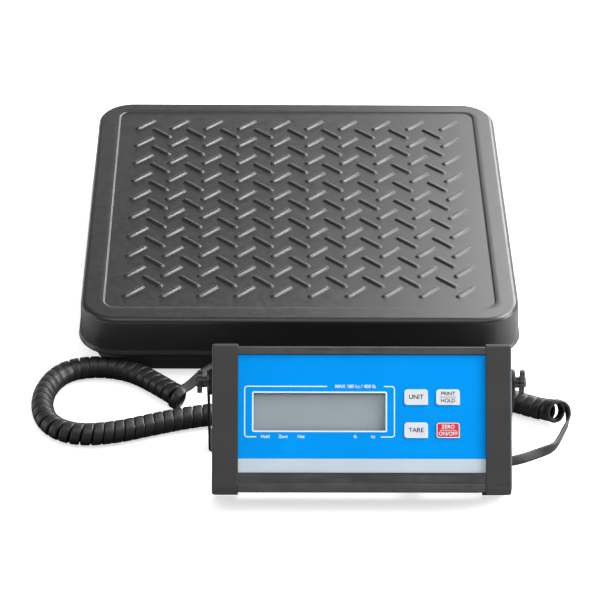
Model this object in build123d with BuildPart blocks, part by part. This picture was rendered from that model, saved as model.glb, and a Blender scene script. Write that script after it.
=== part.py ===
"""Receiving scale: a square steel platform, joined by a curly cord to a display that
stands in front of it on a tilting bracket.

Millimetres, +Z up, +X to the right, +Y from the display towards the platform. The floor
is Z = 0, and the origin is the middle of the footprint of the platform and the display.
"""

from build123d import *
from math import atan, cos, degrees, pi, radians, sin, tan
import os

os.makedirs("parts", exist_ok=True)

# ---------------------------------------------------------------- platform dimensions
PLATFORM_Y = 83.4            # the platform's centre, behind the origin
TRAY_TOP = 320.0             # side of the tray at its top
TRAY_LIP = 325.0             # side of the tray at its lower lip
TRAY_HEIGHT = 52.0           # floor to the rim of the tray
TRAY_SKIRT = 29.5            # depth of the tray's side wall
TRAY_CORNER = 27.5
TRAY_EDGE = 4.0              # roll of the top edge
TRAY_SHEET = 1.5
RECESS_SIDE = 286.6          # the tread field is pressed down inside the rim
RECESS_DEPTH = 0.7
RECESS_CORNER = 9.0
TREAD_PITCH = 27.2
TREAD_COUNT = 10             # bars per row one way, one fewer the other way
TREAD_LENGTH = 22.5
TREAD_WIDTH = 4.4
TREAD_RISE = 1.1

BASE_SIDE = 302.0
BASE_CORNER = 30.0
BASE_BOTTOM = 2.0            # lower edge of the base's wall
BASE_TOP = 31.0
BASE_SHEET = 1.5
FLOOR_BOTTOM = 6.0           # the base's floor plate is set up inside its wall
FLOOR_SHEET = 2.0
FOOT_RADIUS = 15.0
FOOT_INSET = 30.0            # foot centre from the base's side
FOOT_BORE = 2.6
FOOT_SINK = 6.0              # radius of the counterbore for the screw's head
FOOT_SCREW_HEAD = 1.8
FOOT_SCREW_LENGTH = 9.0
FOOT_SCREW_RADIUS = 2.0
FOOT_NUT_RADIUS = 4.0
FOOT_NUT = 3.2

CELL_LENGTH = 130.0
CELL_WIDTH = 30.0
CELL_HEIGHT = 22.0
CELL_SPACER = 3.0
CELL_BOLT_GAP = 25.0         # bolt to bolt at each end of the load cell
CELL_BOLT_X = 48.0           # middle of each bolt pair from the cell's centre
BOLT_RADIUS = 3.0            # M6
BOLT_HEAD_RADIUS = 5.2
BOLT_HEAD = 3.3
FIT = 0.05                   # radial clearance of a screw in its thread
THREAD_DEPTH = 15.0
THREAD_SPARE = 2.0           # thread left below the end of each bolt
FLEXURE_RADIUS = 7.5         # two joined bores through the cell let it bend
FLEXURE_GAP = 13.0
GAUGE_LENGTH = 44.0
GAUGE_SHEET = 1.5

FRAME_TUBE_WIDTH = 30.0
FRAME_TUBE_HEIGHT = 9.0
FRAME_WALL = 1.5
FRAME_REACH = 340.0          # length of each diagonal tube
MIDDLE_BOX = 150.0           # box across the middle, over the load cell
CUSHION_RADIUS = 12.0
CUSHION_STEM = 4.0           # radius of the stem pushed into the frame
CUSHION_AT = 111.0           # cushions from the platform's centre, along X and Y
STOP_AT = 92.0               # overload stops from the platform's centre, along X and Y
STOP_RADIUS = 4.0            # M8
STOP_GAP = 0.8               # free drop of the load frame before it meets the stops
STOP_HEX_RADIUS = 7.5
STOP_HEAD = 5.3
STOP_NUT = 6.5

JUNCTION_X = 10.0
JUNCTION_Y = -118.0          # from the platform's centre
JUNCTION_LENGTH = 64.0
JUNCTION_WIDTH = 42.0
BOARD_SHEET = 1.6
JUNCTION_STANDOFF = 6.0
POST_RADIUS = 3.0
SMALL_SCREW = 1.4            # radius of the screws that hold the boards
SMALL_SCREW_HEAD = 2.7

GLAND_X = -34.0              # where the cord enters the base's front wall
GLAND_Z = 13.6
GLAND_NECK = 5.2
GLAND_OUT = 7.0              # the boot turns along the wall this far in front of it
GLAND_REACH = 16.0
BOOT_ROOT = 4.6
BOOT_TIP = 4.2
BOOT_FLANGE = 1.6

TERMINAL_POLES = 4
TERMINAL_PITCH = 5.1
TERMINAL_DEPTH = 8.2
TERMINAL_HEIGHT = 9.0
TERMINAL_Y = 12.0            # behind the middle of the junction board
CELL_CABLE_RADIUS = 2.2

# ---------------------------------------------------------------- display dimensions
DISPLAY_X = 40.4             # the display's centre plane
DISPLAY_Y = -216.0           # its lower back edge, which rests on the floor
DISPLAY_LEAN = 38.0          # the face leans this far back from upright
DISPLAY_WIDTH = 204.0
DISPLAY_HEIGHT = 102.4
DISPLAY_DEPTH = 38.0
CAP_WIDTH = 17.6
CAP_WALL = 2.5
CAP_EDGE = 1.6               # round round each cap's outer face
CAP_CORNER = 2.0             # round along the caps' long edges
CAP_PROUD = 1.7              # the caps stand out this far past the extrusion
HOUSING_WALL = 2.0
HOUSING_EDGE = 0.7
HOUSING_FRONT = 37.5         # front of the extrusion's lips above the back of the caps
CHAMFER = 5.7                # bevel along the extrusion's lower front edge
FACE_LOW = 14.5              # opening of the face between the lips
FACE_HIGH = 95.5
PANEL_BACK = 34.0
PANEL_FRONT = 36.0
SHEET_LABEL = 0.4
STRIP_HIGH = 24.4            # top of the metal strip under the keypad label
LABEL_GAP = 0.5              # shadow gap round the labels

BOSS_AT = 8.0                # screw bosses from the back and from each long edge
BOSS_RADIUS = 4.6
SELF_TAPPER = 1.5            # radius of the screws that hold the caps
TAPPER_HEAD = 2.9
TAPPER_SINK = 3.0            # depth of the counterbore in the caps
TAPPER_REACH = 10.0          # how far the screws reach into the extrusion
CAP_SHELL = 3.0              # thickness of the caps' long walls
INNER_BEVEL = 5.0
PANEL_LOW = 9.7              # the panel behind the labels slides in grooves
PANEL_HIGH = 97.3

LCD_U = -28.85               # window centre, from the centre plane
LCD_V = 56.3                 # and above the lower edge
LCD_LENGTH = 89.7
LCD_HEIGHT = 25.6
KEY_U = (36.8, 58.5)
KEY_V = (66.4, 43.9)
KEY_LENGTH = 16.0
KEY_HEIGHT = 10.6
KEY_CORNER = 2.0
KEY_GAP = 0.2
KEY_PROUD = 0.4
KEY_TRAVEL = 0.5

DOOR_U = -30.0               # battery door in the back
DOOR_V = 50.0
DOOR_LENGTH = 64.0
DOOR_HEIGHT = 68.0
DOOR_GAP = 0.3
PORT_U = 44.0                # serial port in the back
PORT_V = 62.0
JACK_U = 68.0                # power jack in the back
JACK_V = 38.0
ENTRY_U = 45.0               # where the cord enters the back
ENTRY_V = 26.0
ENTRY_NECK = 4.5
BOOT_LENGTH = 14.0

PIVOT_V = 77.5               # tilt axis above the lower edge and in front of the back
PIVOT_W = 18.0
STUD_RADIUS = 3.0            # M6
INSERT_RADIUS = 4.8
INSERT_LENGTH = 12.0
WASHER_RADIUS = 9.0
WASHER_SHEET = 2.1
STRAP_WIDTH = 18.0
STRAP_SHEET = 1.5
STRAP_LEAN = 19.5            # the bracket's legs lean back this far from upright
STRAP_BEND = 3.5
BRACKET_HOLES = 100.0        # screw holes in the crossbar, centre to centre
BRACKET_HOLE_RADIUS = 2.75
KNOB_BARREL = 3.4
KNOB_BARREL_RADIUS = 3.9
KNOB_WING = 3.4
KNOB_EDGE = 0.8
KNOB_HUB_RADIUS = 4.7
KNOB_CROWN = 1.1
KNOB_CROWN_RADIUS = 3.7
WING_SPAN = 19.0
WING_HEIGHT = 5.6
STUD_IN = 9.0                # how far the stud reaches into the end cap

# ---------------------------------------------------------------- cord dimensions
CORD_WIDTH = 6.4             # the flat cord's width
COIL_RADIUS = 8.1            # outer radius of the wound part
COIL_Z = 8.2
LEAD_Z = 3.4

# ---------------------------------------------------------------- derived places
PLATFORM = Plane(origin=(0, PLATFORM_Y, 0))
TRAY_DRAFT = degrees(atan((TRAY_LIP - TRAY_TOP) / 2 / TRAY_SKIRT))
LIP_Z = TRAY_HEIGHT - TRAY_SKIRT
RECESS_Z = TRAY_HEIGHT - RECESS_DEPTH
FLOOR_TOP = FLOOR_BOTTOM + FLOOR_SHEET
CELL_BOTTOM = FLOOR_TOP + CELL_SPACER
CELL_TOP = CELL_BOTTOM + CELL_HEIGHT
FRAME_BOTTOM = CELL_TOP + CELL_SPACER
FRAME_TOP = FRAME_BOTTOM + FRAME_TUBE_HEIGHT
CUSHION_TOP = RECESS_Z - TRAY_SHEET
STOP_TOP = FRAME_BOTTOM - STOP_GAP
FOOT_AT = BASE_SIDE / 2 - FOOT_INSET
FIXED_BOLTS = [(-CELL_BOLT_X - CELL_BOLT_GAP / 2, 0), (-CELL_BOLT_X + CELL_BOLT_GAP / 2, 0)]
FREE_BOLTS = [(CELL_BOLT_X - CELL_BOLT_GAP / 2, 0), (CELL_BOLT_X + CELL_BOLT_GAP / 2, 0)]
CELL_SIDE = Plane(origin=(0, PLATFORM_Y, CELL_BOTTOM + CELL_HEIGHT / 2),
                  x_dir=(1, 0, 0), z_dir=(0, -1, 0))
GLAND_WALL = Plane(origin=(GLAND_X, PLATFORM_Y - BASE_SIDE / 2, GLAND_Z),
                   x_dir=(1, 0, 0), z_dir=(0, -1, 0))

LEAN_SIN = sin(radians(DISPLAY_LEAN))
LEAN_COS = cos(radians(DISPLAY_LEAN))
UP_FACE = (0, LEAN_SIN, LEAN_COS)
OUT_OF_FACE = (0, -LEAN_COS, LEAN_SIN)
BODY_HALF = DISPLAY_WIDTH / 2 - CAP_WIDTH
FACE = Plane(origin=(DISPLAY_X, DISPLAY_Y, 0), x_dir=(1, 0, 0), z_dir=OUT_OF_FACE)
HOUSING_LOW = CAP_PROUD
HOUSING_HIGH = DISPLAY_HEIGHT - CAP_PROUD
HOUSING_BACK = CAP_PROUD
HOUSING_INSIDE = HOUSING_BACK + HOUSING_WALL
PANEL_SEAT_LOW = 9.5
SCREW_BOSSES = [(BOSS_AT, BOSS_AT), (DISPLAY_HEIGHT - BOSS_AT, BOSS_AT)]


def face_point(u, v, w):
    """World place of a point given across, up and out of the display's face."""
    return FACE.from_local_coords(Vector(u, v, w))


def side_plane(u):
    """Plane across the display at u, with its own x up the face and y out of it."""
    return Plane(origin=(DISPLAY_X + u, DISPLAY_Y, 0), x_dir=UP_FACE, z_dir=(1, 0, 0))


def save(piece, name):
    """Label a finished piece and write its file."""
    piece.part.label = name
    export_step(piece.part, f"parts/{name}.step")


def corners(at):
    """The four points at plus and minus the same distance along X and Y."""
    return [(x, y) for x in (-at, at) for y in (-at, at)]


def screws(plane, places, head, head_height, shank, length):
    """Screws on a plane: heads stand out of it and shanks go into it."""
    with BuildPart() as group:
        with BuildSketch(plane):
            with Locations(*places):
                Circle(head)
        extrude(amount=head_height)
        with BuildSketch(plane):
            with Locations(*places):
                Circle(shank)
        extrude(amount=-length)
    return group


# ---------------------------------------------------------------- tray
with BuildPart() as tray:
    with BuildSketch(PLATFORM.offset(LIP_Z)):
        RectangleRounded(TRAY_LIP, TRAY_LIP, TRAY_CORNER)
    extrude(amount=TRAY_SKIRT, taper=TRAY_DRAFT)
    fillet(tray.faces().sort_by(Axis.Z)[-1].edges(), TRAY_EDGE)
    offset(amount=-TRAY_SHEET, openings=tray.faces().sort_by(Axis.Z)[0])
    with BuildSketch(PLATFORM.offset(RECESS_Z)):
        RectangleRounded(RECESS_SIDE + 2 * TRAY_SHEET, RECESS_SIDE + 2 * TRAY_SHEET, RECESS_CORNER)
    extrude(amount=-TRAY_SHEET)
    with BuildSketch(PLATFORM.offset(RECESS_Z)):
        RectangleRounded(RECESS_SIDE, RECESS_SIDE, RECESS_CORNER)
    extrude(amount=RECESS_DEPTH, mode=Mode.SUBTRACT)
    with BuildSketch(PLATFORM.offset(RECESS_Z)):
        with GridLocations(TREAD_PITCH, TREAD_PITCH, TREAD_COUNT, TREAD_COUNT):
            SlotOverall(TREAD_LENGTH, TREAD_WIDTH, rotation=45)
        with GridLocations(TREAD_PITCH, TREAD_PITCH, TREAD_COUNT - 1, TREAD_COUNT - 1):
            SlotOverall(TREAD_LENGTH, TREAD_WIDTH, rotation=-45)
    extrude(amount=TREAD_RISE)
save(tray, "tray")

# ---------------------------------------------------------------- base
with BuildPart() as base_pan:
    with BuildSketch(PLATFORM.offset(BASE_BOTTOM)):
        RectangleRounded(BASE_SIDE, BASE_SIDE, BASE_CORNER)
    extrude(amount=BASE_TOP - BASE_BOTTOM)
    fillet(base_pan.faces().sort_by(Axis.Z)[0].edges(), 0.6)
    with BuildSketch(PLATFORM.offset(FLOOR_TOP)):
        RectangleRounded(BASE_SIDE - 2 * BASE_SHEET, BASE_SIDE - 2 * BASE_SHEET,
                         BASE_CORNER - BASE_SHEET)
    extrude(amount=BASE_TOP, mode=Mode.SUBTRACT)
    with BuildSketch(PLATFORM.offset(FLOOR_BOTTOM)):
        RectangleRounded(BASE_SIDE - 2 * BASE_SHEET, BASE_SIDE - 2 * BASE_SHEET,
                         BASE_CORNER - BASE_SHEET)
    extrude(amount=-FLOOR_BOTTOM, mode=Mode.SUBTRACT)
    with BuildSketch(PLATFORM.offset(FLOOR_TOP)):
        with Locations(*corners(FOOT_AT)):
            Circle(FOOT_BORE)
        with Locations(*corners(STOP_AT)):
            Circle(STOP_RADIUS + FIT)
        with Locations(*FIXED_BOLTS):
            Circle(BOLT_RADIUS + FIT)
    extrude(amount=-FLOOR_SHEET, mode=Mode.SUBTRACT)
    with BuildSketch(GLAND_WALL):
        Circle(GLAND_NECK + FIT)
    extrude(amount=-BASE_SHEET, mode=Mode.SUBTRACT)
save(base_pan, "base_pan")

with BuildPart() as feet:
    with BuildSketch(PLATFORM):
        with Locations(*corners(FOOT_AT)):
            Circle(FOOT_RADIUS)
            Circle(FOOT_BORE, mode=Mode.SUBTRACT)
    extrude(amount=FLOOR_BOTTOM)
    with BuildSketch(PLATFORM):
        with Locations(*corners(FOOT_AT)):
            Circle(FOOT_SINK)
    extrude(amount=FLOOR_BOTTOM / 2, mode=Mode.SUBTRACT)
save(feet, "feet")

FOOT_HEAD_PLANE = Plane(origin=(0, PLATFORM_Y, FLOOR_BOTTOM / 2), x_dir=(1, 0, 0), z_dir=(0, 0, -1))
foot_screws = screws(FOOT_HEAD_PLANE, corners(FOOT_AT), FOOT_SINK - 1, FOOT_SCREW_HEAD,
                     FOOT_SCREW_RADIUS, FOOT_SCREW_LENGTH)
save(foot_screws, "foot_screws")

with BuildPart() as foot_nuts:
    with BuildSketch(PLATFORM.offset(FLOOR_TOP)):
        with Locations(*corners(FOOT_AT)):
            RegularPolygon(FOOT_NUT_RADIUS, 6)
            Circle(FOOT_SCREW_RADIUS + FIT, mode=Mode.SUBTRACT)
    extrude(amount=FOOT_NUT)
save(foot_nuts, "foot_nuts")

# ---------------------------------------------------------------- load cell
with BuildPart() as load_cell:
    with BuildSketch(PLATFORM.offset(CELL_BOTTOM)):
        Rectangle(CELL_LENGTH, CELL_WIDTH)
    extrude(amount=CELL_HEIGHT)
    chamfer(load_cell.edges().filter_by(Axis.Z), 1.0)
    with BuildSketch(CELL_SIDE):
        with Locations((-FLEXURE_GAP / 2, 0), (FLEXURE_GAP / 2, 0)):
            Circle(FLEXURE_RADIUS)
        Rectangle(FLEXURE_GAP, FLEXURE_RADIUS)
    extrude(amount=CELL_WIDTH, both=True, mode=Mode.SUBTRACT)
    with BuildSketch(PLATFORM.offset(CELL_BOTTOM)):
        with Locations(*FIXED_BOLTS):
            Circle(BOLT_RADIUS + FIT)
    extrude(amount=THREAD_DEPTH, mode=Mode.SUBTRACT)
    with BuildSketch(PLATFORM.offset(CELL_TOP)):
        with Locations(*FREE_BOLTS):
            Circle(BOLT_RADIUS + FIT)
    extrude(amount=-THREAD_DEPTH, mode=Mode.SUBTRACT)
save(load_cell, "load_cell")

with BuildPart() as gauge_seal:
    with BuildSketch(CELL_SIDE.offset(CELL_WIDTH / 2)):
        RectangleRounded(GAUGE_LENGTH, CELL_HEIGHT - 2, 2)
    extrude(amount=GAUGE_SHEET)
save(gauge_seal, "gauge_seal")


def cell_spacer(bottom, bolts):
    """Ground steel block that stands one end of the load cell off its neighbour."""
    with BuildPart() as block:
        with BuildSketch(PLATFORM.offset(bottom)):
            with Locations(((bolts[0][0] + bolts[1][0]) / 2, 0)):
                Rectangle(2 * BOLT_HEAD_RADIUS + CELL_BOLT_GAP, CELL_WIDTH)
            with Locations(*bolts):
                Circle(BOLT_RADIUS + 2 * FIT, mode=Mode.SUBTRACT)
        extrude(amount=CELL_SPACER)
    return block


base_spacer = cell_spacer(FLOOR_TOP, FIXED_BOLTS)
save(base_spacer, "base_spacer")
frame_spacer = cell_spacer(CELL_TOP, FREE_BOLTS)
save(frame_spacer, "frame_spacer")

UNDER_FLOOR = Plane(origin=(0, PLATFORM_Y, FLOOR_BOTTOM), x_dir=(1, 0, 0), z_dir=(0, 0, -1))
base_bolts = screws(UNDER_FLOOR, FIXED_BOLTS, BOLT_HEAD_RADIUS, BOLT_HEAD, BOLT_RADIUS,
                    FLOOR_SHEET + CELL_SPACER + THREAD_DEPTH - THREAD_SPARE)
save(base_bolts, "base_bolts")
frame_bolts = screws(PLATFORM.offset(FRAME_BOTTOM + FRAME_WALL), FREE_BOLTS, BOLT_HEAD_RADIUS,
                     BOLT_HEAD, BOLT_RADIUS,
                     FRAME_WALL + CELL_SPACER + THREAD_DEPTH - THREAD_SPARE)
save(frame_bolts, "frame_bolts")

# ---------------------------------------------------------------- load frame
with BuildPart() as load_frame:
    with BuildSketch(PLATFORM.offset(FRAME_BOTTOM)):
        Rectangle(FRAME_REACH, FRAME_TUBE_WIDTH, rotation=45)
        Rectangle(FRAME_REACH, FRAME_TUBE_WIDTH, rotation=-45)
        Rectangle(MIDDLE_BOX, 2 * FRAME_TUBE_WIDTH)
    extrude(amount=FRAME_TUBE_HEIGHT)
    with BuildSketch(PLATFORM.offset(FRAME_BOTTOM + FRAME_WALL)):
        Rectangle(FRAME_REACH + 1, FRAME_TUBE_WIDTH - 2 * FRAME_WALL, rotation=45)
        Rectangle(FRAME_REACH + 1, FRAME_TUBE_WIDTH - 2 * FRAME_WALL, rotation=-45)
        Rectangle(MIDDLE_BOX - 2 * FRAME_WALL, 2 * (FRAME_TUBE_WIDTH - FRAME_WALL))
    extrude(amount=FRAME_TUBE_HEIGHT - 2 * FRAME_WALL, mode=Mode.SUBTRACT)
    with BuildSketch(PLATFORM.offset(FRAME_TOP)):
        with Locations(*FREE_BOLTS):
            Circle(BOLT_HEAD_RADIUS + 1)
        with Locations(*corners(CUSHION_AT)):
            Circle(CUSHION_STEM + FIT)
    extrude(amount=-FRAME_WALL, mode=Mode.SUBTRACT)
    with BuildSketch(PLATFORM.offset(FRAME_BOTTOM)):
        with Locations(*FREE_BOLTS):
            Circle(BOLT_RADIUS + 2 * FIT)
    extrude(amount=FRAME_WALL, mode=Mode.SUBTRACT)
save(load_frame, "load_frame")

with BuildPart() as cushions:
    with BuildSketch(PLATFORM.offset(FRAME_TOP)):
        with Locations(*corners(CUSHION_AT)):
            Circle(CUSHION_RADIUS)
    extrude(amount=CUSHION_TOP - FRAME_TOP)
    with BuildSketch(PLATFORM.offset(FRAME_TOP)):
        with Locations(*corners(CUSHION_AT)):
            Circle(CUSHION_STEM)
    extrude(amount=-(FRAME_TUBE_HEIGHT - FRAME_WALL - 1))
save(cushions, "cushions")

with BuildPart() as overload_stops:
    with BuildSketch(PLATFORM.offset(STOP_TOP)):
        with Locations(*corners(STOP_AT)):
            RegularPolygon(STOP_HEX_RADIUS, 6)
    extrude(amount=-STOP_HEAD)
    with BuildSketch(PLATFORM.offset(STOP_TOP - STOP_HEAD)):
        with Locations(*corners(STOP_AT)):
            Circle(STOP_RADIUS)
    extrude(amount=-(STOP_TOP - STOP_HEAD - FLOOR_BOTTOM))
save(overload_stops, "overload_stops")

with BuildPart() as stop_nuts:
    with BuildSketch(PLATFORM.offset(FLOOR_TOP)):
        with Locations(*corners(STOP_AT)):
            RegularPolygon(STOP_HEX_RADIUS, 6)
            Circle(STOP_RADIUS + FIT, mode=Mode.SUBTRACT)
    extrude(amount=STOP_NUT)
save(stop_nuts, "stop_nuts")

# ---------------------------------------------------------------- junction board
JUNCTION = Plane(origin=(JUNCTION_X, PLATFORM_Y + JUNCTION_Y, FLOOR_TOP))
JUNCTION_POSTS = [(x * (JUNCTION_LENGTH / 2 - 5), y * (JUNCTION_WIDTH / 2 - 5))
                  for x in (-1, 1) for y in (-1, 1)]

with BuildPart() as junction_posts:
    with BuildSketch(JUNCTION):
        with Locations(*JUNCTION_POSTS):
            Circle(POST_RADIUS)
            Circle(SMALL_SCREW + FIT, mode=Mode.SUBTRACT)
    extrude(amount=JUNCTION_STANDOFF)
save(junction_posts, "junction_posts")

with BuildPart() as junction_board:
    with BuildSketch(JUNCTION.offset(JUNCTION_STANDOFF)):
        Rectangle(JUNCTION_LENGTH, JUNCTION_WIDTH)
        with Locations(*JUNCTION_POSTS):
            Circle(SMALL_SCREW + 2 * FIT, mode=Mode.SUBTRACT)
    extrude(amount=BOARD_SHEET)
save(junction_board, "junction_board")

junction_screws = screws(JUNCTION.offset(JUNCTION_STANDOFF + BOARD_SHEET), JUNCTION_POSTS,
                         SMALL_SCREW_HEAD, 1.6, SMALL_SCREW, BOARD_SHEET + 4)
save(junction_screws, "junction_screws")

with BuildPart() as terminal_block:
    with BuildSketch(JUNCTION.offset(JUNCTION_STANDOFF + BOARD_SHEET)):
        with Locations((0, TERMINAL_Y)):
            Rectangle(TERMINAL_POLES * TERMINAL_PITCH, TERMINAL_DEPTH)
    extrude(amount=TERMINAL_HEIGHT)
    with BuildSketch(JUNCTION.offset(JUNCTION_STANDOFF + BOARD_SHEET + TERMINAL_HEIGHT)):
        with Locations((0, TERMINAL_Y)):
            with GridLocations(TERMINAL_PITCH, 1, TERMINAL_POLES, 1):
                Circle(1.6)
    extrude(amount=-2.5, mode=Mode.SUBTRACT)
save(terminal_block, "terminal_block")


def cord_radii(points):
    """Radius of each corner: 0.45 of its shorter run over the tangent of half its turn."""
    radii = []
    for before, here, after in zip(points, points[1:], points[2:]):
        run_in = Vector(*here) - Vector(*before)
        run_out = Vector(*after) - Vector(*here)
        half_turn = radians(run_in.get_angle(run_out)) / 2
        radii.append(0.45 * min(run_in.length, run_out.length) / tan(half_turn))
    return radii


def cord_tube(points, radius, name):
    """Round tube along straight runs joined by tangent arcs."""
    radii = cord_radii(points)
    with BuildPart() as tube:
        with BuildLine() as route:
            FilletPolyline(*points, radius=radii)
        path = route.wires()[0]
        with BuildSketch(Plane(origin=path @ 0, z_dir=path % 0)):
            Circle(radius)
        sweep(path=path)
    filled = tube.part.volume / (pi * radius**2 * path.length)
    print(name, "length", round(path.length, 1), "volume ratio", round(filled, 4),
          "radii", [round(r, 1) for r in radii])
    save(tube, name)


GAUGE_FACE = PLATFORM_Y - CELL_WIDTH / 2 - GAUGE_SHEET
TERMINAL_REAR = PLATFORM_Y + JUNCTION_Y + TERMINAL_Y + TERMINAL_DEPTH / 2
TERMINAL_Z = FLOOR_TOP + JUNCTION_STANDOFF + BOARD_SHEET + 4.0
GAUGE_Z = CELL_BOTTOM + CELL_HEIGHT / 2
cord_tube([(-14, GAUGE_FACE, GAUGE_Z), (-14, GAUGE_FACE - 13, GAUGE_Z),
           (-19, GAUGE_FACE - 26, GAUGE_Z - 5), (-24, GAUGE_FACE - 42, FLOOR_TOP + 4),
           (-14, GAUGE_FACE - 60, FLOOR_TOP + 3.4), (2, TERMINAL_REAR + 21, TERMINAL_Z - 4),
           (9, TERMINAL_REAR + 10, TERMINAL_Z), (9, TERMINAL_REAR, TERMINAL_Z)],
          CELL_CABLE_RADIUS, "cell_cable")

# ---------------------------------------------------------------- display housing
with BuildPart() as housing:
    with BuildSketch(side_plane(-BODY_HALF + 0.1)):
        with BuildLine():
            Polyline((HOUSING_LOW, HOUSING_BACK), (HOUSING_HIGH, HOUSING_BACK),
                     (HOUSING_HIGH, HOUSING_FRONT), (HOUSING_LOW + CHAMFER, HOUSING_FRONT),
                     (HOUSING_LOW, HOUSING_FRONT - CHAMFER), close=True)
        outline = make_face()
        fillet(outline.vertices(), HOUSING_EDGE)
        with BuildLine():
            Polyline((HOUSING_LOW + HOUSING_WALL, HOUSING_BACK + HOUSING_WALL),
                     (HOUSING_HIGH - HOUSING_WALL, HOUSING_BACK + HOUSING_WALL),
                     (HOUSING_HIGH - HOUSING_WALL, PANEL_BACK),
                     (HOUSING_LOW + HOUSING_WALL + INNER_BEVEL, PANEL_BACK),
                     (HOUSING_LOW + HOUSING_WALL, PANEL_BACK - INNER_BEVEL), close=True)
        make_face(mode=Mode.SUBTRACT)
        with Locations(*SCREW_BOSSES):
            Circle(BOSS_RADIUS)
        with Locations(*SCREW_BOSSES):
            Circle(SELF_TAPPER + FIT, mode=Mode.SUBTRACT)
        with Locations(((PANEL_SEAT_LOW + HOUSING_HIGH - HOUSING_WALL) / 2, (PANEL_BACK + PANEL_FRONT) / 2)):
            Rectangle(HOUSING_HIGH - HOUSING_WALL - PANEL_SEAT_LOW, PANEL_FRONT - PANEL_BACK,
                      mode=Mode.SUBTRACT)
        with Locations(((FACE_LOW + FACE_HIGH) / 2, HOUSING_FRONT)):
            Rectangle(FACE_HIGH - FACE_LOW, 2 * (HOUSING_FRONT - PANEL_FRONT), mode=Mode.SUBTRACT)
    extrude(amount=2 * BODY_HALF - 0.2)
    with BuildSketch(FACE):
        with Locations((DOOR_U, DOOR_V)):
            Rectangle(DOOR_LENGTH, DOOR_HEIGHT)
        with Locations((PORT_U, PORT_V)):
            Rectangle(20.4, 11.4)
        with Locations((JACK_U, JACK_V)):
            Circle(5.6)
        with Locations((ENTRY_U, ENTRY_V)):
            Circle(ENTRY_NECK + FIT)
    extrude(amount=HOUSING_BACK + HOUSING_WALL, mode=Mode.SUBTRACT)
save(housing, "housing")


def end_cap(side, name):
    """Moulded cap that closes one end of the extrusion and carries the pivot."""
    inner = side * BODY_HALF
    with BuildPart() as cap:
        with BuildSketch(side_plane(inner)):
            with BuildLine():
                Polyline((0, 0), (DISPLAY_HEIGHT, 0), (DISPLAY_HEIGHT, DISPLAY_DEPTH),
                         (CHAMFER, DISPLAY_DEPTH), (0, DISPLAY_DEPTH - CHAMFER), close=True)
            outline = make_face()
            fillet(outline.vertices(), CAP_CORNER)
        extrude(amount=side * CAP_WIDTH)
        outer = cap.faces().sort_by(Axis.X)[-1 if side > 0 else 0]
        fillet(outer.edges(), CAP_EDGE)
        with BuildSketch(side_plane(inner)):
            with BuildLine():
                Polyline((CAP_SHELL, CAP_SHELL), (DISPLAY_HEIGHT - CAP_SHELL, CAP_SHELL),
                         (DISPLAY_HEIGHT - CAP_SHELL, DISPLAY_DEPTH - CAP_SHELL),
                         (CAP_SHELL + CHAMFER, DISPLAY_DEPTH - CAP_SHELL),
                         (CAP_SHELL, DISPLAY_DEPTH - CAP_SHELL - CHAMFER), close=True)
            make_face()
            with Locations((PIVOT_V, PIVOT_W)):
                Circle(INSERT_RADIUS + 3, mode=Mode.SUBTRACT)
            with Locations(*SCREW_BOSSES):
                Circle(BOSS_RADIUS, mode=Mode.SUBTRACT)
        extrude(amount=side * (CAP_WIDTH - CAP_WALL), mode=Mode.SUBTRACT)
        with BuildSketch(side_plane(inner)):
            with Locations(*SCREW_BOSSES):
                Circle(SELF_TAPPER + 2 * FIT)
        extrude(amount=side * CAP_WIDTH, mode=Mode.SUBTRACT)
        with BuildSketch(side_plane(side * DISPLAY_WIDTH / 2)):
            with Locations(*SCREW_BOSSES):
                Circle(TAPPER_HEAD + 0.3)
        extrude(amount=-side * TAPPER_SINK, mode=Mode.SUBTRACT)
        with BuildSketch(side_plane(side * DISPLAY_WIDTH / 2)):
            with Locations((PIVOT_V, PIVOT_W)):
                Circle(INSERT_RADIUS + FIT)
        extrude(amount=-side * INSERT_LENGTH, mode=Mode.SUBTRACT)
    save(cap, name)


end_cap(-1, "left_cap")
end_cap(1, "right_cap")

with BuildPart() as cap_screws:
    for side in (-1, 1):
        with BuildSketch(side_plane(side * (DISPLAY_WIDTH / 2 - TAPPER_SINK))):
            with Locations(*SCREW_BOSSES):
                Circle(TAPPER_HEAD)
        extrude(amount=side * 2.2)
        with BuildSketch(side_plane(side * (DISPLAY_WIDTH / 2 - TAPPER_SINK))):
            with Locations(*SCREW_BOSSES):
                Circle(SELF_TAPPER)
        extrude(amount=-side * (CAP_WIDTH - TAPPER_SINK + TAPPER_REACH))
save(cap_screws, "cap_screws")

with BuildPart() as pivot_inserts:
    for side in (-1, 1):
        with BuildSketch(side_plane(side * DISPLAY_WIDTH / 2)):
            with Locations((PIVOT_V, PIVOT_W)):
                Circle(INSERT_RADIUS)
                Circle(STUD_RADIUS + FIT, mode=Mode.SUBTRACT)
        extrude(amount=-side * INSERT_LENGTH)
save(pivot_inserts, "pivot_inserts")

# ---------------------------------------------------------------- display face
def key_outline(grow):
    """One key's outline: three round corners and a square one at its lower right."""
    with BuildSketch() as outline:
        Rectangle(KEY_LENGTH + 2 * grow, KEY_HEIGHT + 2 * grow)
        fillet(outline.vertices().filter_by(lambda v: v.X < 0 or v.Y > 0), KEY_CORNER + grow)
    return outline.sketch


KEY_SHAPE = key_outline(0)
KEY_OPENING = key_outline(KEY_GAP)
KEY_PLACES = [(u, v) for u in KEY_U for v in KEY_V]

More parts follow.
